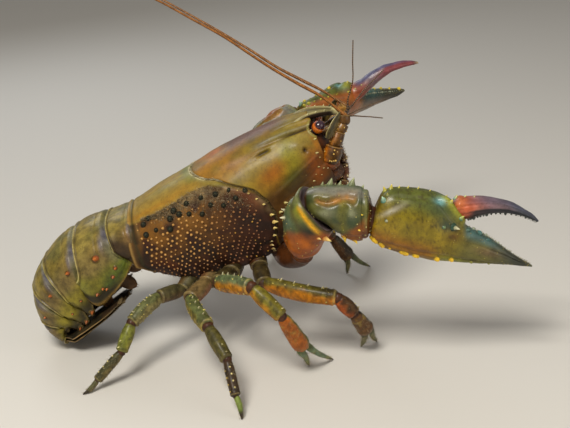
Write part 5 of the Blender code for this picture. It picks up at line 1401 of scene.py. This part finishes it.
    # hand and fixed finger
    P, s_at, m_at, rise, out = plate(origin, (a, b, c), PALM, scale, 236, 120)
    if side > 0:
        P = P - c * (out * (out > 0) * 3.4 * ebb(s_at, 8, 22)
                - 1.4 * spot(s_at, m_at, 24, 15, 5, 5) * (out > 0))[..., None]
    N = grid_normals(P)
    finger = fade(s_at, 31, 40)
    outer_face = fade(out, 0.0, 0.4)
    h = (-0.6 * bell(rise, -0.72, 0.06) * ebb(s_at, 42, 54) * fade(s_at, 4, 9)
            - 0.4 * bell(rise, 0.84, 0.05) * ebb(s_at, 20, 26) * fade(s_at, 3, 8))
    h = (h + 0.6 * spot(s_at, m_at, 11, 7.0, 8, 7.0) * np.abs(out)
            - 0.45 * bell(rise, 0.30, 0.10) * finger * np.abs(out))
    knuckle_ridge = (bell(s_at + 1.4 * (m_at - 12.6), 32.0, 1.7) * fade(m_at, 9.5, 11.5)
            * ebb(m_at, 18.6, 20.0))
    knuckle_slit = bell(s_at + 1.4 * (m_at - 12.6), 28.0, 1.3) * fade(m_at, 9.0, 11.5)
    h = h + 1.1 * knuckle_ridge * outer_face - 0.7 * knuckle_slit * outer_face
    h = h + 0.5 * ripple(P, 6.0, 41) + 0.14 * ripple(P, 2.2, 42)
    P = P + N * (h * ebb(s_at, 60, 65))[..., None]
    paint = coats(over("7a6c12", "8c7818", clouds(P, 7.0, 43, 0.35, 0.75)), [
        ("4e5a26", fade(m_at, 8.0, 15.0) * 0.85),
        ("3a2c0c", clouds(P, 0.75, 47, 0.58, 0.8) * 0.55 * (1 - finger)),
        ("8c5406", bell(m_at, -4.0, 4.0) * ebb(s_at, 22, 32) * 0.8),
        # painted highlight: a pale grey streak across the outer face of the palm
        ("b6b2a2", bell(np.hypot((s_at - 5.6) / 3.2, (m_at - 8.9 - 0.9 * (s_at - 5.6)) / 1.3), 0, 1.0)
                * outer_face * 0.9),
        ("5c5a2c", finger * 0.9),
        ("3f6466", fade(rise, 0.25, 0.8) * fade(s_at, 33, 37) * ebb(s_at, 46, 56) * 0.85),
        ("2f4a44", spot(s_at, m_at, 27.5, 9.4, 4.0, 2.6) * outer_face * 0.85),
        ("4a2408", spot(s_at, m_at, 31.5, 5.4, 2.4, 1.7) * outer_face * 0.8),
        ("3f4f34", spot(s_at, m_at, 23.0, 14.0, 5.0, 3.4) * 0.7),
        ("6fa8ae", spot(s_at, m_at, 22.6, 17.0, 2.4, 1.1) * fade(out, -0.5, 0.2) * 0.85),
        ("9a9a2e", knuckle_ridge * outer_face * 0.9),
        ("7f8428", fade(-m_at, 2.6, 5.4) * fade(s_at, 26, 33) * ebb(s_at, 46, 56) * 0.85),
        ("6e4a10", fade(-m_at, 5.0, 7.5) * ebb(s_at, 14, 22) * 0.7),
        ("7c3c10" if side < 0 else "9a5014",
                fade(-out, 0.2 * -side, 0.5 + 0.3 * -side) * (1 - finger) * 0.85),
        ("7a5348", fade(-out, 0.3, 0.9) * finger * 0.5),
        ("7a6048", spot(s_at, m_at, 47, 2.2, 6, 1.6) * 0.6),
        ("2b3232", fade(s_at + 2.5 * rise, 44, 59) * 0.85),
        ("6a6a4a", fade(s_at, 64.2, 65.8) * 0.6),
        ("2c160a", ebb(s_at, -0.6, 1.6) * 0.9),
    ])
    hand = [form(P, paint, 0.85)]
    # inner edge: a double row of broad spines; outer edge: long yellow knobs; others on the faces
    grow = np.array([1.0, 1.0, 0.55, 0.6, 0.55, 0.4, 0.5, 0.6])
    hand.append(planted(P, N, (s_at, m_at), [(1.0, 14.4), (3.2, 15.8), (6.0, 17.0), (9.6, 17.8),
            (13.6, 18.6), (18.0, 19.2), (25.0, 18.6), (28.4, 17.4)], np.abs(out) < 0.35, 1.0, 0.3 * a,
            1.9 * grow, 1.25 * grow, "5a7438", "ead44c"))
    hand.append(planted(P, N, (s_at, m_at), [(1.4, 11.4), (2.4, 13.6), (6.8, 12.6), (26.2, 17.0),
            (31.6, 12.4)], out > 0.3, 1.0, 0.5 * b, [2.0, 1.0, 0.6, 1.3, 1.5], [1.4, 0.8, 0.6, 1.1, 1.2],
            "2a6a60", ["bfe0c8", "e0d070", "d8cc70", "e8d458", "c8cc58"]))
    hand.append(planted(P, N, (s_at, m_at), [(30.2, 9.0), (26.6, 8.6), (41.6, 8.2), (45.6, 6.8),
            (4.9, 4.0), (36.6, 8.4)], out > 0.3, 1.0, 0.8 * a, [0.9, 0.7, 1.0, 0.6, 0.5, 0.7],
            [1.7, 0.9, 1.4, 0.8, 0.7, 0.9], "2c4a40", ["35503c", "7c9468", "5c8c8c", "4c7a7c", "c0c0a0",
            "5a7c70"], KNOB, 12))
    if side > 0:
        hand.append(planted(P, N, (s_at, rise), [(3.0, 0.8), (10.0, 0.8), (17.0, 0.85), (41.0, 0.8),
                (46.0, 0.8), (51.0, 0.8), (56.5, 0.8), (62.5, 0.8)], out > 0.3, 1.0, 0.4 * a, 0.9,
                [1.1, 1.1, 1.0, 0.9, 1.0, 1.0, 0.9, 1.2], "8a8424", "e6cc3a", KNOB, 10))
    i, j = nearest(s_at, m_at, [(30.2, 9.0)], out > 0.3)
    hand.append(thorns(P[i, j] + N[i, j] * 0.3, N[i, j] + 1.2 * a, 2.5, 1.25, "4c5c34",
            "f8f4d0", SPINE, 12))
    knob_s = np.array([2.0, 2.9, 3.8, 6.0, 6.8, 9.8, 14.8, 15.7, 16.5, 20.0, 20.9, 28.6, 34.2,
            42.1, 49.0, 55.0])
    knob_m = table(knob_s, [0, 4, 11, 15, 21, 28, 34, 42, 60],
            [-4.2, -5.8, -7.2, -7.0, -6.8, -5.8, -4.8, -3.5, -1.2])
    grow = 1.3 * np.array([1.0, 1.15, 1.0, 0.95, 1.05, 0.5, 0.95, 1.15, 0.95, 1.05, 1.0, 1.1, 0.95,
            0.65, 0.5, 0.4])
    bright = over("eec22c", "a0a048", fade(knob_s, 33, 43))
    hand.append(planted(P, N, (s_at, m_at), np.stack([knob_s, knob_m], 1), out > 0.05, 0.8, 0.5 * a,
            0.7 * grow, 0.9 * grow, bright * 0.5, bright, KNOB, 12, 0.3 * a))
    teeth = np.linspace(38.0, 63.4, 17)
    grow = np.where(np.arange(17) % 4 == 1, 1.0, 0.6) * np.linspace(1.0, 0.5, 17)
    hand.append(planted(P, N, (s_at, m_at), np.stack([teeth, np.full(17, 12.0)], 1), rise > 0.9, 1.0, 0.0,
            grow * 0.9, grow, "465c5a", "a8b098", KNOB, 8, wet=0.9))
    hand.append(grains(P, N, (16, 225), (0, 120), 300, (0.12, 0.32), "5c5018", "9a8c40", 0.7))
    hand.append(hairs(P, N, (160, 230), (-9, 10), 220, (0.5, 1.2), "4a4434", "b0a888"))
    piece(f"hand_{word}_shell", hand, claw_finish, [f"propodus_{word}"])

    # movable finger, swung open about its hinge
    P, s_at, m_at, rise, out = plate(origin, (a, b, c), DACTYL, scale, 140, 76, 2.3)
    hinge = origin + scale * (32.9 * a + 13.0 * b)
    d = P - hinge
    x, y, z = d @ a, d @ b, d @ c
    swing_a = x * math.cos(gape) - y * math.sin(gape)
    swing_b = x * math.sin(gape) + y * math.cos(gape)
    if side > 0:
        swing_a = swing_a + 4.2 * fade(s_at, 48, 62)
        z = z * (1 - 0.18 * fade(s_at, 31, 38))
        z = z + table(s_at, [30, 36, 43, 50, 56, 62], [0, 0.8, 2.4, 3.4, 3.2, 1.8])
    P = hinge + swing_a[..., None] * a + swing_b[..., None] * b + z[..., None] * c
    N = grid_normals(P)
    h = (-0.35 * bell(rise, 0.45, 0.12) * np.abs(out) - 0.35 * bell(rise, -0.3, 0.1) * np.abs(out)
            + 0.4 * ripple(P, 4.0, 51) + 0.12 * ripple(P, 1.6, 52))
    h = (h + 0.5 * bell(s_at, 30.0, 1.2)) * ebb(s_at, 57, 61)
    P = P + N * h[..., None]
    paint = over("b2583a" if side < 0 else "94481a", "b4705a" if side < 0 else "7a3424",
            clouds(P, 4.0, 53, 0.35, 0.8))
    paint = coats(paint, [
        ("bc6a34", bell(s_at, 30, 2.5) * fade(rise, -0.2, 0.6) * 0.6),
        ("6a5f6c", fade(s_at + 2.5 * rise, 34, 43) * 0.85),
        ("38424e", fade(s_at + 2.5 * rise, 43, 55) * 0.9),
        ("5a5c78", fade(rise, 0.35, 0.8) * 0.35 * (side < 0) * fade(s_at, 30, 36)),
    ])
    if side > 0:
        paint = coats(paint, [
            ("8a3a3e", fade(s_at, 40, 50) * 0.8),
            ("56587c", fade(out, -0.1, 0.45) * fade(s_at, 30, 35) * (1 - 0.6 * fade(s_at, 50, 58)) * 0.9),
            ("a39a7c", fade(s_at, 59.5, 61.5) * 0.7),
        ])
    paint = coats(paint, [
        ("1a2028", fade(0.4 * fade(out, 0.0, 0.5) - rise, 0.35, 0.6) * fade(s_at, 32, 37) * 0.94),
        ("3c1c12", fade(-rise, 0.3, 0.8) * ebb(s_at, 32, 38) * 0.7),
        ("2c3a30", ebb(s_at, 27.6, 29.2) * 0.8),
    ])
    nipper = [form(P, paint, 0.85)]
    teeth = np.linspace(37.0, 60.0, 18)
    grow = np.where(np.arange(18) % 4 == 2, 1.1, 0.8) * np.linspace(1.0, 0.55, 18)
    nipper.append(planted(P, N, (s_at, m_at), np.stack([teeth, np.full(18, 10.0)], 1),
            (rise < -0.6) & (out > 0.25), 1.0, -0.6 * b, grow * 1.1, grow * 0.9, "161c24", "5c6866",
            KNOB, 8, wet=0.9))
    nipper.append(planted(P, N, (s_at, m_at), [(28.4, 19.0), (31.6, 20.4), (35.0, 21.6)], rise > 0.6, 1.0,
            0.6 * a, [1.5, 0.8, 0.6], [1.1, 0.7, 0.5], "3d8a84", "e6e07a", SPINE, 9))
    nipper.append(hairs(P, N, (40, 135), (31, 46), 200, (0.5, 1.1), "26221e", "7a7460"))
    piece(f"finger_{word}_shell", nipper, claw_finish, [f"dactyl_{word}"])


# Walking legs: four pairs of thin jointed limbs, green above and orange below, with pink skin in
# the joints. The first two pairs end in small pincers, the rear two in a single bristly claw.
LEG_GIRTH = {2: 3.3, 3: 3.4, 4: 3.2, 5: 2.9}
LEG_STATION = {2: 40.0, 3: 31.0, 4: 22.0, 5: 13.0}
RIGHT_LEGS = {
    2: dict(upper=[(-12.5, -19, 37.2), (-10.7, -29, 33.4), (4, -37.5, 31.8), (19.2, -42, 30.2)],
            carpus=(25.6, -42, 22.6), palm=(31.2, -36, 11.2), tips=[(28.8, -28, 0), (35.8, -24.3, 0)]),
    3: dict(upper=[(-24.5, -21, 36.0), (-29.7, -31, 36.0), (-23.5, -41, 39.2), (-15.5, -50, 41.2)],
            carpus=(-4.0, -57, 30.6), palm=(3.8, -51, 13.0), tips=[(5.6, -41.9, 0), (15.9, -38.1, 0)]),
    4: dict(upper=[(-35.0, -21, 32.2), (-41.7, -34, 31.0), (-38.5, -45, 29.6), (-33.8, -55, 27.5)],
            carpus=(-26.6, -67, 18.5), palm=(-23.9, -76.2, 7.2), tips=[(-22, -82, 0)]),
    5: dict(upper=[(-45.5, -20, 29.5), (-55, -28, 30.2), (-61, -34.5, 28.0), (-66.3, -40, 24.5)],
            carpus=(-70.9, -46, 14.6), palm=(-81.6, -50.2, 4.6), tips=[(-87.5, -53.3, 0)]),
}
LEFT_LEGS = {
    2: dict(upper=[(-13.5, 20, 37.0), (-11, 29, 33.6), (-1, 39, 33.8), (11, 47, 32.5)],
            carpus=(22.5, 50, 21.0), palm=(30.4, 51.5, 9.0), tips=[(28.7, 52.1, 0), (40.9, 59, 0)]),
    3: dict(upper=[(-23.5, 22, 36.0), (-24, 33, 36.4), (-20, 47, 38.6), (-15, 58, 37.0)],
            carpus=(-13.5, 71, 27.5), palm=(-12.5, 80.5, 11.5), tips=[(-16, 83.2, 0), (-8, 85.5, 0)]),
    4: dict(upper=[(-33.5, 22, 33.5), (-37, 34, 33.6), (-40, 49, 34.0), (-41.5, 59, 31.4)],
            carpus=(-41, 70.5, 22.0), palm=(-40, 78.5, 8.0), tips=[(-39.5, 82, 0)]),
    5: dict(upper=[(-43.5, 21, 31.0), (-50, 30, 31.6), (-54, 40, 31.0), (-56.5, 48, 27.5)],
            carpus=(-58, 57, 17.5), palm=(-59.5, 66.5, 5.5), tips=[(-60, 71, 0)]),
}
LEG_COLOURS = {
    2: [("42361a", "543010"), ("6a6224", "ae6c0c"), ("4c3214", "a24c10"), ("2e240f", "5c3a12"),
            ("56603f", "6c6840")],
    3: [("40361c", "553812"), ("687650", "bc7c14"), ("746c20", "b07a12"), ("4e5828", "a0560e"),
            ("647c60", "74784c")],
    4: [("806a42", "94603c"), ("5f663a", "8c7a28"), ("524c20", "665822"), ("3c2a14", "5a4420"),
            ("728438", "98984c")],
    5: [("565032", "624a28"), ("64683e", "807648"), ("727628", "8e862c"), ("464426", "645630"),
            ("525030", "665838")],
}
leg_finish = shell_finish("leg_finish", rough=0.42, coat=0.12, grain=420.0)


def bristles(P, N, count, length):
    """Fine bristles over all but the ends of a limb joint, leaning to its far end."""
    rows = [int(share * (P.shape[0] - 1)) for share in (0.15, 0.97)]
    onward = unit(P[-1].mean(0) - P[0].mean(0)) * 0.8
    lengths = (0.6 * length, 1.2 * length)
    return hairs(P, N, rows, (0, P.shape[1]), count, lengths, "4a4028", "c4b890", stray=0.25, lean=onward)


for side, word, legs in ((-1, "right", RIGHT_LEGS), (1, "left", LEFT_LEGS)):
    for number, plan in legs.items():
        girth = LEG_GIRTH[number]
        hues = LEG_COLOURS[number]
        root = body(LEG_STATION[number], side * 12.5, table(LEG_STATION[number], STATION, BOTTOM) + 1.5)
        p0, p1, p2, knee = (np.array(p, float) for p in plan["upper"])
        wrist, palm = np.array(plan["carpus"], float), np.array(plan["palm"], float)
        tips = [np.array(t, float) for t in plan["tips"]]
        sky_up = np.array([0.0, 0.0, 1.0])

        coxa, P, N = article(root, p0 + (p0 - root) * 0.06, girth * 1.16, (1, 0, 0.2),
                *hues[0], 1.0, 22, 26)
        upper = [coxa, bristles(P, N, 40, 1.0)]
        ischium, P, N = article(p0, p1 + (p1 - p0) * 0.04, girth * 1.06, sky_up, *hues[0], 1.0, 22, 26)
        upper += [ischium, bristles(P, N, 30, 1.0), bead(p0, girth * 0.86, "3c2818")]
        shares = [0, 0.04, 0.12, 0.45, 0.75, 0.9, 0.965, 1.0]
        P, t, turn = tube([p1 + (p1 - p2) * 0.03, p2, knee], shares,
                np.array([0.5, 0.75, 0.9, 1.0, 1.0, 0.98, 0.9, 0.6]) * girth * 0.92,
                np.array([0.6, 0.85, 1.0, 1.18, 1.15, 1.06, 1.0, 0.66]) * girth * 0.95,
                sky_up, 56, 30, 2.3)
        N = grid_normals(P)
        height = 0.16 * ripple(P, 2.4, number) - 0.16 * bell(t, 0.9, 0.012) + 0.1 * bell(t, 0.94, 0.02)
        P = P + N * height[..., None]
        top = fade(np.cos(turn) + 0.7 * ripple(P, 3.0, 60 + number), 0.0, 0.7)
        paint = over(hues[1][1], hues[1][0], top)
        paint = paint * (1 - 0.5 * clouds(P, 1.1, 62 + number, 0.52, 0.8))[..., None]
        paint = coats(paint, [
            ("2c200e", fade(t, 0.66, 0.92) * fade(np.cos(turn) + 0.6 * ripple(P, 2.0, 63), 0.0, 0.7)
                    * (0.8 if number == 2 else 0.35)),
            ("21160c", ebb(t, 0.02, 0.08) * 0.85),
            ("b8a460", 0.55 * bell(t, 0.96, 0.009)),
        ])
        upper += [form(P, paint, 0.85), bristles(P, N, 90, 1.1), bead(p1, girth * 0.76, "4a3020"),
                bead(knee, girth * 0.74, "4a2812")]
        rows = np.array([14, 24, 34, 44])
        upper.append(thorns(P[rows, 0], N[rows, 0] + 0.5 * unit(knee - p2), 1.5, 0.6, hues[1][0],
                "f4ecc4", SPINE, 7))
        upper.append(grains(P, N, (6, 50), (0, 30), 26, (0.16, 0.4), hues[1][0], "e0d070", wide=1.2))
        piece(f"leg_{number}_{word}_thigh", upper, leg_finish, [f"leg_{number}_upper_{word}"])

        carpus, P, N = article(knee, wrist, girth * 0.82, sky_up, *hues[2], 1.12, 34, 28, 1.08)
        shin = [carpus, bristles(P, N, 50, 0.9), bead(wrist, girth * 0.6, "452410")]
        shin.append(thorns(P[[22, 29], 0], N[[22, 29], 0] + 0.6 * unit(wrist - knee), [0.8, 1.2], 0.5,
                hues[2][0], "efe6b0", SPINE, 7))
        piece(f"leg_{number}_{word}_shin", shin, leg_finish, [f"leg_{number}_carpus_{word}"])

        sideways = (1, 0, 0.2) if abs(unit(palm - wrist)[2]) > 0.9 else sky_up
        if len(tips) == 1:
            prop, P, N = article(wrist, palm, girth * 0.64, sideways, *hues[3], 1.08, 44, 26, 1.0)
            foot = [prop, bristles(P, N, 120, 1.5), bead(palm, girth * 0.38, "44281c")]
            rows = np.array([10, 18, 26, 34])
            foot.append(thorns(P[rows, 0], N[rows, 0], 0.35, 0.55, hues[3][1], "f0e2a0", KNOB, 8))
            foot.append(thorns(P[rows + 3, 5], N[rows + 3, 5], 0.3, 0.45, hues[3][1], "e8c860", KNOB, 8))
            tip = tips[0]
            bend = unit(np.cross(tip - palm, (0, 1, 0))) * 0.5
            Q, t, turn = tube([palm - (tip - palm) * 0.05, palm + (tip - palm) * 0.35 + bend,
                    palm + (tip - palm) * 0.72 + bend * 0.7, tip + sky_up * 0.3], [0, 0.1, 0.3, 0.8, 1.0],
                    np.array([0.5, 0.92, 1.0, 0.6, 0.2]) * girth * 0.36,
                    np.array([0.5, 0.95, 1.05, 0.65, 0.2]) * girth * 0.38, sideways, 36, 18, 2.0)
            paint = over(hues[4][1], hues[4][0], fade(np.cos(turn), -0.4, 0.4))
            paint = over(paint, "2c2016", fade(t, 0.62, 0.8))
            foot += [form(Q, paint, 0.7), bristles(Q, grid_normals(Q), 70, 1.1)]
        else:
            spread = unit(tips[1] - tips[0])
            way = unit(palm - wrist)
            lift = unit(spread - way * (spread @ way))
            P, t, turn = tube([wrist, wrist + (palm - wrist) * 0.35, wrist + (palm - wrist) * 0.75,
                    palm + lift * 0.3], [0, 0.06, 0.2, 0.6, 0.9, 1.0],
                    np.array([0.45, 0.62, 0.7, 0.78, 0.72, 0.5]) * girth,
                    np.array([0.5, 0.7, 0.86, 1.02, 1.0, 0.7]) * girth, lift, 50, 28, 2.2)
            N = grid_normals(P)
            P = P + N * (0.14 * ripple(P, 1.8, 70 + number))[..., None]
            top = fade(np.cos(turn - 0.5 * side) + 0.7 * ripple(P, 3.4, 71 + number), 0.1, 0.7)
            paint = over(hues[3][1], hues[3][0], top)
            paint = over(paint, "a8903c", 0.4 * clouds(P, 1.6, 5, 0.6, 0.85))
            foot = [form(P, paint, 0.85), bristles(P, N, 130, 1.2)]
            for tip, off, thin in ((tips[0], -0.42, 1.0), (tips[1], 0.42, 0.9)):
                start = palm - way * 2.2 + lift * off * girth
                mid = palm + (tip - palm) * 0.45 + lift * off * 0.9
                Q, t, turn = tube([start, palm + (tip - palm) * 0.12 + lift * off * girth * 0.9, mid,
                        tip + sky_up * 0.3], [0, 0.12, 0.35, 0.8, 1.0],
                        np.array([0.38, 0.46, 0.38, 0.22, 0.07]) * girth * thin,
                        np.array([0.42, 0.52, 0.42, 0.24, 0.07]) * girth * thin, lift, 40, 20, 2.0)
                paint = coats(over(hues[4][1], hues[4][0], clouds(Q, 2.2, 80 + number, 0.3, 0.7)), [
                    (hues[3][0], ebb(t, 0.05, 0.3)),
                    ("33281c", fade(t, 0.84, 0.96)),
                ])
                NQ = grid_normals(Q)
                foot += [form(Q, paint, 0.7), bristles(Q, NQ, 150, 1.2)]
                rows = np.arange(14, 37, 3)
                col = 10 if off > 0 else 0
                foot.append(thorns(Q[rows, col], NQ[rows, col], 0.25, 0.22, "8a7a50", "d8cca0", KNOB, 6))
        piece(f"leg_{number}_{word}_foot", foot, leg_finish, [f"leg_{number}_foot_{word}"])
